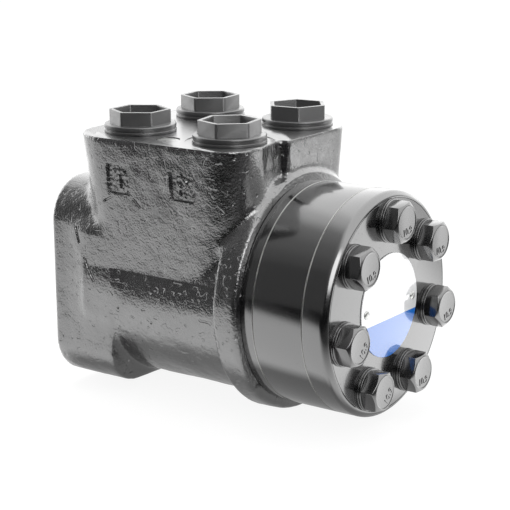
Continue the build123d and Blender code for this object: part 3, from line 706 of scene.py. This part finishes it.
def letter_p(u, v):
    stem = box_depth(u, v, -3.0, -1.0, -4.4, 4.4)
    away = np.hypot(np.maximum(u + 0.2, 0), v - 1.7)
    bowl = ramp_up(1.35 - np.abs(away - 1.9), 0, 0.7) * (u > -2)
    return np.maximum(stem, bowl)


panels = (
    (46.6, 53.7, 6.5, 6.9, letter_t), (83.4, 54.0, 6.5, 6.5, letter_p)
)  # middle x and z, half width, half height and letter
panel_depth, letter_height, knock_depth, nick_depth = 1.3, 1.1, 0.8, 0.5
front_limit = -38.0  # every mark lies on the front, below this y
knocks = (
    (16.5, 26.5, 18.7, 19.9, 1.1), (22.2, 12.6, 24.6, 8.0, 1.2), (24.6, 8.0, 28.2, 2.7, 0.9),
    (37.0, 42.3, 41.2, 44.4, 0.8), (55.0, 45.2, 58.5, 42.0, 0.8),
)  # x, z of both ends and the half width, on the front of the casting
nicks = ((42.4, -8.6), (61.8, -13.0))


def line_distance(x, z, x0, z0, x1, z1):
    """How far each point lies from a line between two ends."""
    run = np.array((x1 - x0, z1 - z0))
    t = np.clip(((x - x0) * run[0] + (z - z0) * run[1]) / (run @ run), 0, 1)
    return np.hypot(x - x0 - t * run[0], z - z0 - t * run[1])


def front_region(points, margin):
    """Which points of the front lie within a panel, a knock or a nick."""
    x, y, z = points.T
    near = np.zeros(len(points), bool)
    for middle_x, middle_z, half_x, half_z, _ in panels:
        u, v = np.abs(x - middle_x), np.abs(z - middle_z)
        near |= (u < half_x + margin) & (v < half_z + margin)
    for *ends, width in knocks:
        near |= line_distance(x, z, *ends) < width + margin
    for nick_x, nick_z in nicks:
        near |= np.hypot(x - nick_x, z - nick_z) < 1 + margin
    return near & (y < front_limit)


def refine_front(mesh, cuts):
    """Makes the mesh finer where the marks are."""
    work = bmesh.new()
    work.from_mesh(mesh)
    centres = np.array([f.calc_center_median() for f in work.faces]) / MM
    chosen = front_region(centres, 0.8)
    edges = {e for f, c in zip(work.faces, chosen) if c for e in f.edges}
    bmesh.ops.subdivide_edges(work, edges=list(edges), cuts=cuts, use_grid_fill=True)
    bmesh.ops.triangulate(work, faces=[f for f in work.faces if len(f.verts) > 4])
    work.to_mesh(mesh)
    work.free()


def press_marks(mesh):
    """Sinks the panels, knocks and nicks into the front, and leaves the letters standing."""
    points = points_of(mesh)
    x, y, z = points.T
    on_front = y < front_limit
    inwards = np.zeros(len(points))
    for middle_x, middle_z, half_x, half_z, letter in panels:
        u, v = x - middle_x, z - middle_z
        sunk = box_depth(u, v, -half_x, half_x, -half_z, half_z)
        rough = np.array([noise.noise(Vector(p) / 1.6) for p in points[sunk > 0]])
        inwards += panel_depth * sunk - letter_height * letter(u, v) * (sunk > 0)
        inwards[sunk > 0] += 0.16 * rough
    for *ends, width in knocks:
        away = line_distance(x, z, *ends)
        inwards += knock_depth * (1 - ramp_up(away, width * 0.3, width))
    for nick_x, nick_z in nicks:
        away = np.hypot(x - nick_x, z - nick_z)
        inwards += nick_depth * (1 - ramp_up(away, 0.3, 0.9))
    points[:, 1] += inwards * on_front
    put_points(mesh, points)


refine_front(casting.data, 3)
press_marks(casting.data)
print("casting with marks", len(casting.data.vertices))

# %% Machined faces
keep = solid("keep", prism(rounded_box(-70, 70, -70, port_face, (1,) * 4, 1), 0, gear_face))
combine(casting, [keep], "INTERSECT")

# %% The bore along the axis: pilot, seats of the seals, neck, and galleries round the valve
valve_radius, neck_radius, seal_radius, pilot_radius = 19.0, 14.6, 18.0, 20.5
gallery_radius, gallery_half, gallery_offset = 24.0, 2.5, 4.0
valve_bore = [
    (-1, 0), (-1, pilot_radius + 1), (0, pilot_radius + 1), (1, pilot_radius), (5, pilot_radius),
    (5, seal_radius), (9.4, seal_radius), (9.4, neck_radius), (12, neck_radius),
    (12, seal_radius), (16.2, seal_radius), (16.2, neck_radius), (20, neck_radius),
    (20, valve_radius),
]
for port in ("tank", "pressure"):
    for middle in (ports[port][0] - gallery_offset, ports[port][0] + gallery_offset):
        start, end = middle - gallery_half, middle + gallery_half
        valve_bore += [(start, valve_radius), (start, gallery_radius), (end, gallery_radius),
                       (end, valve_radius)]
valve_bore += [(gear_face + 1, valve_radius), (gear_face + 1, 0)]
combine(casting, [solid("bore", lathed(valve_bore, steps=96))])
print("bored", len(casting.data.polygons))

# %% Drillings: four ports, the check valve's plug, the mounting holes and the bolts
port_bore_radius, port_depth = 9.3, 18
check_place, check_radius, check_floor = (65.4, -38.8), 5.5, 45
tapped_radius, mount_circle_radius, mount_depth = 4.25, 41.25, 18
bolt_depth, pin_bolt_depth = 21, 33
drillings = [
    ((x, y, port_face + 1), (x, y, port_face - port_depth), port_bore_radius)
    for x, y, _ in ports.values()
]
drillings.append(((*check_place, port_face + 1), (*check_place, check_floor), check_radius))
for k in range(4):
    y, z = on_circle(mount_circle_radius, math.radians(45 + 90 * k))
    drillings.append(((-1, y, z), (mount_depth, y, z), tapped_radius))
for k, angle in enumerate(bolt_angles):
    y, z = on_circle(bolt_circle_radius, angle)
    deep = pin_bolt_depth if k == pin_bolt_index else bolt_depth
    drillings.append(((gear_face + 1, y, z), (gear_face - deep, y, z), tapped_radius))
combine(casting, [rod(*drilling) for drilling in drillings])

# The pressure port has a shallow spot face under its plug
spot_depth, spot_radius = 0.35, 20.3
spot = ports["pressure"][:2]
spot_face = rod(
    (*spot, port_face - spot_depth), (*spot, port_face + 1), spot_radius, steps=128
)
combine(casting, [spot_face])

smooth(casting, 38)
finished(casting, "cast_black", "root", "housing")


def milled_and_bored(thing):
    """Gives the milled port face its smooth paint and the bores' walls bare iron."""
    thing.data.materials.append(milled_paint)
    thing.data.materials.append(bare_iron)
    for face in thing.data.polygons:
        x, y, z = (c / MM for c in face.center)
        if face.normal.z > 0.9 and z > port_face - 0.5:
            face.material_index = 1
        if math.hypot(y, z) < gallery_radius + 0.5 and 0.05 < x < gear_face - 0.05:
            face.material_index = 2


milled_and_bored(casting)

# %% [markdown]
# ## The gear set's discs
# Plate, gear ring and end cap are turned steel discs clamped face to face. Their rims are lathe
# outlines with each corner eased by under half a millimetre: where two eased corners meet, the
# joint shows as a hair line of light, brightened by a painted highlight of bare steel on those
# edges. The ring's lobes and the bolt holes are then cut.


# %% Plate, ring and cap
joint_ease = 0.4


def disc(name, corners):
    return solid(name, lathed(eased(corners), steps=256))


def paint_seam_highlight(thing, seams):
    """Paints a highlight on the eased edges at the seams between the discs, as bright bare steel.
    """
    thing.data.materials.append(seam_highlight_steel)
    for face in thing.data.polygons:
        x, y, z = (c / MM for c in face.center)
        at_seam = min(abs(x - seam) for seam in seams) < joint_ease - 0.02
        on_rim = math.hypot(y, z) > stack_radius - joint_ease
        if at_seam and on_rim and abs(face.normal.x) > 0.1:
            face.material_index = 1


def rods_on_circle(circle_radius, start, end, radius, steps=48):
    """Seven cutters along X, one in line with each bolt."""
    places = [on_circle(circle_radius, angle) for angle in bolt_angles]
    return [rod((start, *place), (end, *place), radius, steps) for place in places]


def bolt_holes(start, end):
    return rods_on_circle(bolt_circle_radius, start - 1, end + 1, 5.25)


plate = disc(
    "gear_plate",
    [(plate_low[0], 0, 0), (plate_low[0], stack_radius, 1.0),
     (plate_high[0], stack_radius, joint_ease), (plate_high[0], 0, 0)],
)
combine(plate, bolt_holes(plate_low[0], plate_high[0]))
shaft_hole_radius = 13.0
combine(plate, [rod((plate_low[0] - 1, 0, 0), (plate_high[0] + 1, 0, 0), shaft_hole_radius, 96)])
finished(smooth(plate), "gloss_black", "root", "distributor_plate")
paint_seam_highlight(plate, [plate_high[0]])

ring = disc(
    "gear_ring",
    [(ring_low[0], 0, 0), (ring_low[0], stack_radius, joint_ease),
     (ring_high[0], stack_radius, joint_ease), (ring_high[0], 0, 0)],
)
lobe_circle, lobe_radius, valley_radius = 36.0, 10.0, 32.1
chamber = rod((ring_low[0] - 1, 0, 0), (ring_high[0] + 1, 0, 0), valley_radius, 192)
combine(chamber, rods_on_circle(lobe_circle, ring_low[0] - 2, ring_high[0] + 2, lobe_radius, 96))
combine(ring, [chamber])
combine(ring, bolt_holes(ring_low[0], ring_high[0]))
finished(smooth(ring), "gloss_black", "root", "stator_ring")
paint_seam_highlight(ring, [ring_low[0], ring_high[0]])

cap_bevel = 2.2
face_radius = stack_radius - cap_bevel - 1.0  # a hair groove runs round the flat face
cap = disc(
    "cover",
    [(cap_low[0], 0, 0), (cap_low[0], stack_radius, joint_ease),
     (cap_face - cap_bevel, stack_radius, 1.2), (cap_face, stack_radius - cap_bevel, 0.8),
     (cap_face, face_radius + 0.5, 0.1), (cap_face - 0.3, face_radius + 0.4, 0.05),
     (cap_face - 0.3, face_radius, 0.05), (cap_face, face_radius - 0.1, 0.1), (cap_face, 0, 0)],
)
combine(cap, bolt_holes(cap_low[0], cap_face))
finished(smooth(cap), "gloss_black", "root", "end_cap")
paint_seam_highlight(cap, [cap_low[0]])

# %% [markdown]
# ## Bolts, washers and rivets
# Seven bolts, seven washers and two rivets repeat on circles. One of each is modelled, and a
# Geometry Nodes tree sets copies on marked points, each turned by its own angle, because real
# bolts stop wherever they are tight. The heads are forged: a hexagon cut by a cone, so that
# only the corners are taken off, and the corners of the faces are a little rounded.


# %% A tree that sets copies of a fastener on points
def fastener_tree():
    """A tree that sets a model on each marked point, turned by the point's own angle."""
    tree = bpy.data.node_groups.new("fasteners_on_points", "GeometryNodeTree")
    for label, kind, way in (
        ("Points", "NodeSocketGeometry", "INPUT"),
        ("Fastener", "NodeSocketObject", "INPUT"),
        ("Finish", "NodeSocketMaterial", "INPUT"),
        ("Copies", "NodeSocketGeometry", "OUTPUT"),
    ):
        tree.interface.new_socket(label, in_out=way, socket_type=kind)
    given = tree.nodes.new("NodeGroupInput")
    model = add(tree, "GeometryNodeObjectInfo", Object=given.outputs["Fastener"])
    turn = add(tree, "GeometryNodeInputNamedAttribute", {"data_type": "FLOAT"}, Name="turn")
    angles = add(tree, "ShaderNodeCombineXYZ", X=turn)
    points = add(tree, "GeometryNodeMeshToPoints", Mesh=given.outputs["Points"])
    copies = add(
        tree, "GeometryNodeInstanceOnPoints", Points=points,
        Instance=model.outputs["Geometry"], Rotation=angles,
    )
    real = add(tree, "GeometryNodeRealizeInstances", Geometry=copies)
    painted = add(
        tree, "GeometryNodeSetMaterial", Geometry=real, Material=given.outputs["Finish"]
    )
    add(tree, "NodeGroupOutput", i0=painted)
    return tree


copies_tree = fastener_tree()


def set_copies(name, model, places, turns, slot):
    """Copies of the model at these places, as one plain mesh at the origin."""
    marks = bpy.data.meshes.new(name + "_marks")
    marks.from_pydata([[c * MM for c in p] for p in places], [], [])
    attribute = marks.attributes.new("turn", "FLOAT", "POINT")
    attribute.data.foreach_set("value", [math.radians(t) for t in turns])
    carrier = shown(name + "_carrier", marks)
    step = carrier.modifiers.new("copies", "NODES")
    step.node_group = copies_tree
    sockets = {s.name: s.identifier for s in copies_tree.interface.items_tree}
    step[sockets["Fastener"]] = model
    step[sockets["Finish"]] = finishes[slot]
    mesh = final_mesh(carrier)
    bpy.data.objects.remove(carrier)
    piece = shown(name, mesh)
    piece.data.name = name
    return piece


# %% One bolt, with its head's seat at X = 0
head_flats, head_height, head_crown = 17.0, head_top - head_seat, 1.0
shank_radius, thread_radius, thread_length, pin_radius = 5.0, 4.22, 18, 2
class_mark, mark_size, mark_relief, mark_drop = "10.9", 4.6, 0.3, 4.1


def word_mesh(words, size, height):
    """Raised letters in the YZ plane, facing +X, centred."""
    curve = bpy.data.curves.new("words", "FONT")
    curve.body = words
    curve.size = size * MM
    curve.extrude = height * MM / 2
    curve.align_x = "CENTER"
    curve.align_y = "CENTER"
    holder = shown("words", curve)
    mesh = final_mesh(holder)
    bpy.data.objects.remove(holder)
    mesh.transform(Matrix(((0, 0, 1, 0), (1, 0, 0, 0), (0, 1, 0, 0), (0, 0, 0, 1))))
    return mesh


def bolt_model(name, pin_reach):
    """A bolt with its class on the head; pin_reach is the X of its pin's end, or 0 for no pin."""
    corner = head_flats / math.sqrt(3)
    hexagon = [on_circle(corner, math.radians(60 * k)) for k in range(6)]
    head = solid(name, prism(hexagon, 0, head_height))
    shoulder, apothem = head_height - head_crown - 0.3, head_flats / 2
    crown = [
        (-1, 0), (-1, corner + 1), (shoulder, corner + 1), (shoulder, corner),
        (head_height, apothem - 0.7), (head_height, apothem - 1.1),
        (head_height - 0.25, apothem - 1.5), (head_height - 0.25, 0),
    ]
    combine(head, [solid("cone", lathed(crown, steps=96))], "INTERSECT")
    soften(head, 0.28, 2, 28)
    thread_start = gear_face - head_seat
    thread_end = thread_start - thread_length
    shaft = [(thread_end, 0), (thread_end, thread_radius), (thread_start, thread_radius),
             (thread_start, shank_radius), (0.5, shank_radius), (0.5, 0)]
    if pin_reach:
        shaft = [(pin_reach, 0), (pin_reach, pin_radius), (thread_end, pin_radius)] + shaft[1:]
    combine(head, [solid("stem", lathed(shaft, steps=48))], "UNION")
    smooth(head, 30)
    word = word_mesh(class_mark, mark_size, mark_relief)
    word.transform(Matrix.Translation(((head_height - 0.13) * MM, 0, -mark_drop * MM)))
    both = bmesh.new()
    both.from_mesh(head.data)
    both.from_mesh(word)
    both.to_mesh(head.data)
    both.free()
    return head


bolt_places = [(head_seat, *on_circle(bolt_circle_radius, a)) for a in bolt_angles]
bolt_turns = (9, 16, 52, 51, 4, 17, 2)  # degrees that each head stands turned
cap_bolt = bolt_model("bolt_model", 0)
others = [k for k in range(bolt_count) if k != pin_bolt_index]
bolts = set_copies(
    "hex_bolts", cap_bolt, [bolt_places[k] for k in others], [bolt_turns[k] for k in others],
    "black_bolt",
)
finished(bolts, "black_bolt", "root", "cap_bolts")
pin_model = bolt_model("pin_bolt_model", pin_low[0] - head_seat)
pin = set_copies(
    "hex_bolt_with_pin", pin_model, [bolt_places[pin_bolt_index]], [bolt_turns[pin_bolt_index]],
    "black_bolt",
)
finished(pin, "black_bolt", "root", "pin_bolt")

# %% Washers and rivets
# A seal washer has two lips with a fine groove between them
washer_radius, washer_hole, washer_height = 10.0, 5.3, head_seat - cap_face
half, upper_lip = washer_height / 2, washer_radius - 0.2
washer_outline = eased(
    [(0, washer_hole, 0.1), (0, washer_radius, 0.25), (half - 0.15, washer_radius, 0.15),
     (half, washer_radius - 0.5, 0.05), (half + 0.15, upper_lip, 0.15),
     (washer_height, upper_lip, 0.3), (washer_height, washer_hole, 0.1)],
    closed=True, steps=3,
)
washer = smooth(solid("washer_model", lathed(washer_outline, True, 96)), 40)
washers = set_copies(
    "washers", washer, [(cap_face, y, z) for _, y, z in bolt_places], [0] * bolt_count,
    "black_bolt",
)
finished(washers, "black_bolt", "root", "bolt_washers")

rivet_low, rivet_high = box_mm("plate_rivets")
rivet_offset, rivet_radius, rivet_head = 19.8, 1.2, 2.0
dome = rivet_high[0] - label_high[0]
rivet_end = rivet_low[0] - label_high[0]
rivet_outline = [(rivet_end, 0), (rivet_end, rivet_radius), (0, rivet_radius), (0, rivet_head)]
rivet_outline += [
    (dome * math.sin(t), rivet_head * math.cos(t)) for t in np.linspace(0.2, 1.45, 8)
] + [(dome, 0)]
rivet = smooth(solid("rivet_model", lathed(rivet_outline, steps=48)), 50)
rivets = set_copies(
    "label_rivets", rivet, [(label_high[0], side * rivet_offset, 0) for side in (-1, 1)],
    (0, 0), "rivet_steel",
)
finished(rivets, "rivet_steel", "root", "plate_rivets")
for model in (cap_bolt, pin_model, washer, rivet):
    bpy.data.objects.remove(model)

# %% [markdown]
# ## Label
# A round of printed foil under the rivets, white above a line and blue below it. It is left bare
# of words. Its edge is stamped, so it is eased only by a tenth.

# %% Label
label_radius = label_high[1]
label = disc(
    "round_label",
    [(label_low[0], 0, 0), (label_low[0], label_radius, 0.05),
     (label_high[0], label_radius, 0.15), (label_high[0], 0, 0)],
)
for y in (-rivet_offset, rivet_offset):
    hole = rod((label_low[0] - 1, y, 0), (label_high[0] + 1, y, 0), rivet_radius + 0.05)
    combine(label, [hole])
finished(smooth(label), "plate_foil", "root", "name_plate")

# %% [markdown]
# ## Shipping plugs
# Four moulded plugs keep dirt out of the ports: a round flange with a parting line, a thin hollow
# hexagon for a key and a plain stem in the thread. Each is a lathe outline joined to a hexagon
# and hollowed, and its edges are softened, because moulded plastic has no sharp edge and each
# soft edge catches a thin line of light.


# %% Plugs
plug_above_seat, flange_height, plug_wall = 10.2, 3.8, 1.8
plug_flange, hexagon_corner, stem_hollow = 17.0, 14.75, 7.2  # all radii


def hexagon_at(name, radius, ease):
    """The outline of a port's plug hexagon, with its corners rounded off."""
    x, y, turn = ports[name]
    corners = [on_circle(radius, math.radians(turn + 60 * k)) for k in range(6)]
    return eased([(x + a, y + b, ease) for a, b in corners], closed=True)


def plug(name):
    x, y, _ = ports[name]
    low, high = box_mm("plug_" + name)
    top, bottom = high[2], low[2]
    seat, stem = top - plug_above_seat, port_bore_radius - 0.03
    parting, upper_rim = plug_flange - 0.5, plug_flange - 0.1
    outline = eased(
        [(bottom, 0, 0), (bottom, stem, 0.6), (seat, stem, 0.2), (seat, plug_flange, 0.3),
         (seat + 1.2, plug_flange, 0.3), (seat + 1.35, parting, 0.1), (seat + 1.8, parting, 0.1),
         (seat + 1.9, upper_rim, 0.2), (seat + flange_height, upper_rim, 0.7),
         (seat + flange_height, 0, 0)],
        steps=3,
    )
    body = solid(
        "plug_" + name + "_moulded", lathed(outline, steps=128, axis="Z", centre=(x, y))
    )
    outer = hexagon_at(name, hexagon_corner, 1.0)
    combine(body, [solid("tower", prism(outer, seat + 2, top, "Z"))], "UNION")
    inner = hexagon_at(name, hexagon_corner - plug_wall / math.cos(math.pi / 6), 0.6)
    combine(body, [solid("hollow", prism(inner, seat + plug_wall, top + 1, "Z"))])
    combine(
        body, [rod((x, y, seat + plug_wall + 1), (x, y, bottom + plug_wall), stem_hollow)]
    )
    soften(body, 0.22, 2, 40)
    return smooth(body, 40)


for port in ports:
    finished(plug(port), "plug_plastic", "root", "plug_" + port)

# %% [markdown]
# ## Needles of the thrust bearing
# Twenty rollers lie like the spokes of a wheel. They are the same kind of repeat, so they use
# the same tree: a roller along Z, and each copy turned about the X axis.

# %% Needles
needle_low, needle_high = box_mm("bearing_needles")
needle_radius = (needle_high[0] - needle_low[0]) / 2
needle_length = 3.0
needle_far = needle_high[2]
needle_near = needle_far - needle_length
needle_outline = eased(
    [(needle_near, 0, 0), (needle_near, needle_radius, 0.25),
     (needle_far, needle_radius, 0.25), (needle_far, 0, 0)]
)
needle = smooth(solid("needle_model", lathed(needle_outline, steps=24, axis="Z")))
needle_count = 20
needle_middle = needle_low[0] + needle_radius
needles = set_copies(
    "needle_rollers", needle, [(needle_middle, 0, 0)] * needle_count,
    [360 / needle_count * k for k in range(needle_count)], "bearing_steel",
)
bpy.data.objects.remove(needle)
bodies = frame["record"]["behaviour"]["bodies"]
needle_body = next(body for body, nodes in bodies.items() if "bearing_needles" in nodes)
finished(needles, "bearing_steel", needle_body, "bearing_needles")

# %% [markdown]
# ## Studio
# A gloss black object is only as good as what it mirrors. The floor and the backdrop are white,
# the room behind the camera is dark, and a broad soft light hangs overhead. The camera itself
# sees plain white. So the floor and the world have one brightness for the camera and another
# for the rays that leave a gloss surface, as white and black cards round a table would give.


# %% Floor
cap_sees, across_it = (0.59, 0.81), (0.81, -0.59)  # the way that the cap's face mirrors
front_way, camera_way = (0.35, -0.9), (0.8, -0.6)
paper_glow = 1.12
own_light = 0.8  # how much of what the camera sees of the paper is glow: the rest takes shadows
painted_shadow_middle = 80 * MM  # x of the middle of the painted shadow under the object, on the floor as mirrors see it
times, plus, minus, larger, unsigned = (
    {"operation": name} for name in ("MULTIPLY", "ADD", "SUBTRACT", "MAXIMUM", "ABSOLUTE")
)
dot = {"operation": "DOT_PRODUCT"}


def sloped(tree, place, way, low, high, to_low, to_high):
    """A value that changes across the floor along a way, between two distances in mm."""
    along = add(tree, "ShaderNodeVectorMath", dot, i0=place, i1=(*way, 0.0)).outputs["Value"]
    return add(
        tree, "ShaderNodeMapRange", Value=along, From_Min=low * MM, From_Max=high * MM,
        To_Min=to_low, To_Max=to_high,
    )


def mirrored_paper(tree, place):
    """The paper in mirrors: bright behind the object, dark by the camera, with a painted shadow
    underneath.
    """
    split = add(tree, "ShaderNodeSeparateXYZ", Vector=place)
    # A painted shadow: in mirrors the paper darkens to 0.3 over the object's footprint.
    aside = add(tree, "ShaderNodeMath", unsigned, i0=split.outputs["Y"])
    aside = add(
        tree, "ShaderNodeMapRange", Value=aside, From_Min=46 * MM, From_Max=62 * MM
    )
    past = add(tree, "ShaderNodeMath", minus, i0=split.outputs["X"], i1=painted_shadow_middle)
    past = add(tree, "ShaderNodeMath", unsigned, i0=past)
    past = add(tree, "ShaderNodeMapRange", Value=past, From_Min=78 * MM, From_Max=95 * MM)
    beyond_painted_shadow = add(tree, "ShaderNodeMath", larger, i0=aside, i1=past)
    beyond_painted_shadow = add(tree, "ShaderNodeMath", larger, i0=beyond_painted_shadow, i1=0.3)
    bright = add(
        tree, "ShaderNodeMath", plus, i0=sloped(tree, place, cap_sees, -300, -120, 1.17, 1.42),
        i1=sloped(tree, place, cap_sees, 60, 160, 0.0, 0.8),
    )
    beside = add(
        tree, "ShaderNodeMath", larger, i0=sloped(tree, place, across_it, 38, 70, 0.5, 1.0),
        i1=sloped(tree, place, cap_sees, 250, 320, 1.0, 0.0),
    )
    towards_front = sloped(tree, place, front_way, 215, 305, 1.0, 0.08)
    towards_camera = sloped(tree, place, camera_way, 175, 260, 1.0, 0.08)
    for share in (beside, towards_front, towards_camera, beyond_painted_shadow):
        bright = add(tree, "ShaderNodeMath", times, i0=bright, i1=share)
    return bright


def white_floor():
    """White paper that the camera sees evenly bright, apart from the object's soft shadow."""
    material = bpy.data.materials.new("studio_paper")
    material.use_nodes = True
    tree = material.node_tree
    tree.nodes.clear()
    rays = add(tree, "ShaderNodeLightPath").outputs
    place = add(tree, "ShaderNodeTexCoord").outputs["Object"]
    strength = add(
        tree, "ShaderNodeMix", Factor=rays["Is Glossy Ray"], i2=paper_glow,
        i3=mirrored_paper(tree, place),
    )
    matt = add(tree, "ShaderNodeBsdfDiffuse", Color=linear("#e6e6e6"))
    glow = add(tree, "ShaderNodeEmission", Color=(1, 1, 1, 1), Strength=strength)
    share = add(tree, "ShaderNodeMath", times, i0=rays["Is Camera Ray"], i1=own_light)
    share = add(tree, "ShaderNodeMath", larger, i0=share, i1=rays["Is Glossy Ray"])
    both = add(tree, "ShaderNodeMixShader", i0=share, i1=matt, i2=glow)
    add(tree, "ShaderNodeOutputMaterial", i0=both)
    return material


floor_reach = 6000.0
floor_corners = [
    (a * floor_reach, b * floor_reach, floor_level) for a, b in ((-1, -1), (1, -1), (1, 1), (-1, 1))
]
floor = solid("floor", (floor_corners, [(0, 1, 2, 3)]))
if floor.data.polygons[0].normal.z < 0:
    floor.data.flip_normals()
floor.data.materials.append(white_floor())
print("floor at", round(floor_level, 2))


# %% World: dark behind the camera, brighter overhead, white behind the object
room_tones = (
    (-0.2, 0.15), (-0.09, 0.23), (0.17, 0.36), (0.43, 0.56), (0.66, 1.5), (0.79, 2.05)
)  # brightness in mirrors against how far a direction leans up and away from the camera
lean_low, lean_high = -0.5, 1.0
brightest = room_tones[-1][1]
up_and_away, lean_offset = (0.3, 0.8, 0.65), 0.17
card_edge, card_strength = -0.7, 4.0  # a white card on the left, seen past this x
lamp_way, lamp_strength = Vector((0.795, -0.4, 0.43)).normalized(), 4.0
corner_darkness = 0.75  # the room's low right corner is darker by this share
room_soft_light = 0.95


def room_in_mirrors(tree):
    """How bright the room is in each direction, for what a gloss surface mirrors."""
    way = add(tree, "ShaderNodeTexCoord").outputs["Generated"]
    split = add(tree, "ShaderNodeSeparateXYZ", Vector=way)
    card = add(tree, "ShaderNodeMath", minus, i0=card_edge, i1=split.outputs["X"])
    card = add(tree, "ShaderNodeMath", larger, i0=card, i1=0.0)
    card = add(tree, "ShaderNodeMath", times, i0=card, i1=card_strength)
    lean = add(tree, "ShaderNodeVectorMath", dot, i0=way, i1=up_and_away).outputs["Value"]
    for more in (lean_offset, card):
        lean = add(tree, "ShaderNodeMath", plus, i0=lean, i1=more)
    share = add(
        tree, "ShaderNodeMapRange", Value=lean, From_Min=lean_low, From_Max=lean_high
    )
    tones = add(tree, "ShaderNodeValToRGB", Fac=share)
    tones.color_ramp.interpolation = "EASE"
    steps = tones.color_ramp.elements
    while len(steps) < len(room_tones):
        steps.new(0.5)
    for step, (at, tone) in zip(steps, room_tones):
        step.position = (at - lean_low) / (lean_high - lean_low)
        step.color = (*[tone / brightest] * 3, 1)
    right = add(
        tree, "ShaderNodeMapRange", Value=split.outputs["X"], From_Min=0.3, From_Max=0.5
    )
    low_down = add(
        tree, "ShaderNodeMapRange", Value=split.outputs["Z"], From_Min=0.2, From_Max=0.35,
        To_Min=1.0, To_Max=0.0,
    )
    dark_corner = right
    for share in (low_down, corner_darkness):
        dark_corner = add(tree, "ShaderNodeMath", times, i0=dark_corner, i1=share)
    room = tones
    for share in (brightest, add(tree, "ShaderNodeMath", minus, i0=1.0, i1=dark_corner)):
        room = add(tree, "ShaderNodeMath", times, i0=room, i1=share)
    by_lamp = add(tree, "ShaderNodeVectorMath", dot, i0=way, i1=lamp_way).outputs["Value"]
    lamp = add(
        tree, "ShaderNodeMapRange", Value=by_lamp, From_Min=0.95, From_Max=0.978,
        To_Max=lamp_strength,
    )
    return add(tree, "ShaderNodeMath", plus, i0=room, i1=lamp)


def studio_world():
    world = bpy.data.worlds.new("studio")
    bpy.context.scene.world = world
    world.use_nodes = True
    tree = world.node_tree
    tree.nodes.clear()
    rays = add(tree, "ShaderNodeLightPath").outputs
    room = add(
        tree, "ShaderNodeMix", Factor=rays["Is Glossy Ray"], i2=room_soft_light,
        i3=room_in_mirrors(tree),
    )
    straight = add(
        tree, "ShaderNodeMath", larger, i0=rays["Is Camera Ray"], i1=rays["Is Transmission Ray"]
    )
    strength = add(tree, "ShaderNodeMix", Factor=straight, i2=room, i3=1.0)
    light = add(tree, "ShaderNodeBackground", Color=(1, 1, 1, 1), Strength=strength)
    add(tree, "ShaderNodeOutputWorld", i0=light)


studio_world()
print("room tones", len(room_tones))


# %% Lamps
def soft_lamp(name, place, aim, width, power):
    """A square lamp that no mirror shows, because the world already holds its reflection."""
    lamp = bpy.data.lights.new(name, "AREA")
    lamp.shape = "SQUARE"
    lamp.size = width * MM
    lamp.energy = power
    thing = bpy.data.objects.new(name, lamp)
    bpy.context.scene.collection.objects.link(thing)
    place, aim = Vector(place) * MM, Vector(aim) * MM
    thing.location = place
    thing.rotation_euler = (aim - place).to_track_quat("-Z", "Y").to_euler()
    thing.visible_glossy = False


soft_lamp("overhead", (-100, 150, 1100), (80, 0, 0), 900, 5.0)
print("lamps", len(bpy.data.lights))

# %% Camera
camera_place = (513.14, -590.67, 197.51)
camera_azimuth, camera_height, camera_roll = 35.893, 14.237, -0.338
camera_focal_pixels, frame_pixels = 1581.9, 510.0


def set_camera():
    """A camera at its place that looks along its azimuth, down by its height and rolled."""
    lens = bpy.data.cameras.new("camera")
    lens.sensor_width = 36.0
    lens.lens = camera_focal_pixels / frame_pixels * lens.sensor_width
    lens.clip_start = 0.01
    lens.clip_end = 100.0
    camera = bpy.data.objects.new("camera", lens)
    bpy.context.scene.collection.objects.link(camera)
    azimuth, height, roll = map(math.radians, (camera_azimuth, camera_height, camera_roll))
    level_reach = math.cos(height)
    back = Vector(
        (math.sin(azimuth) * level_reach, -math.cos(azimuth) * level_reach, math.sin(height))
    )
    level = (-back).cross(Vector((0, 0, 1))).normalized()
    upright = level.cross(-back)
    right = level * math.cos(roll) + upright * math.sin(roll)
    up = -level * math.sin(roll) + upright * math.cos(roll)
    turn = Matrix((right, up, back)).transposed().to_4x4()
    camera.matrix_world = Matrix.Translation(Vector(camera_place) * MM) @ turn
    bpy.context.scene.camera = camera


set_camera()
bpy.context.scene.view_settings.view_transform = "Standard"
print("camera at", camera_place)
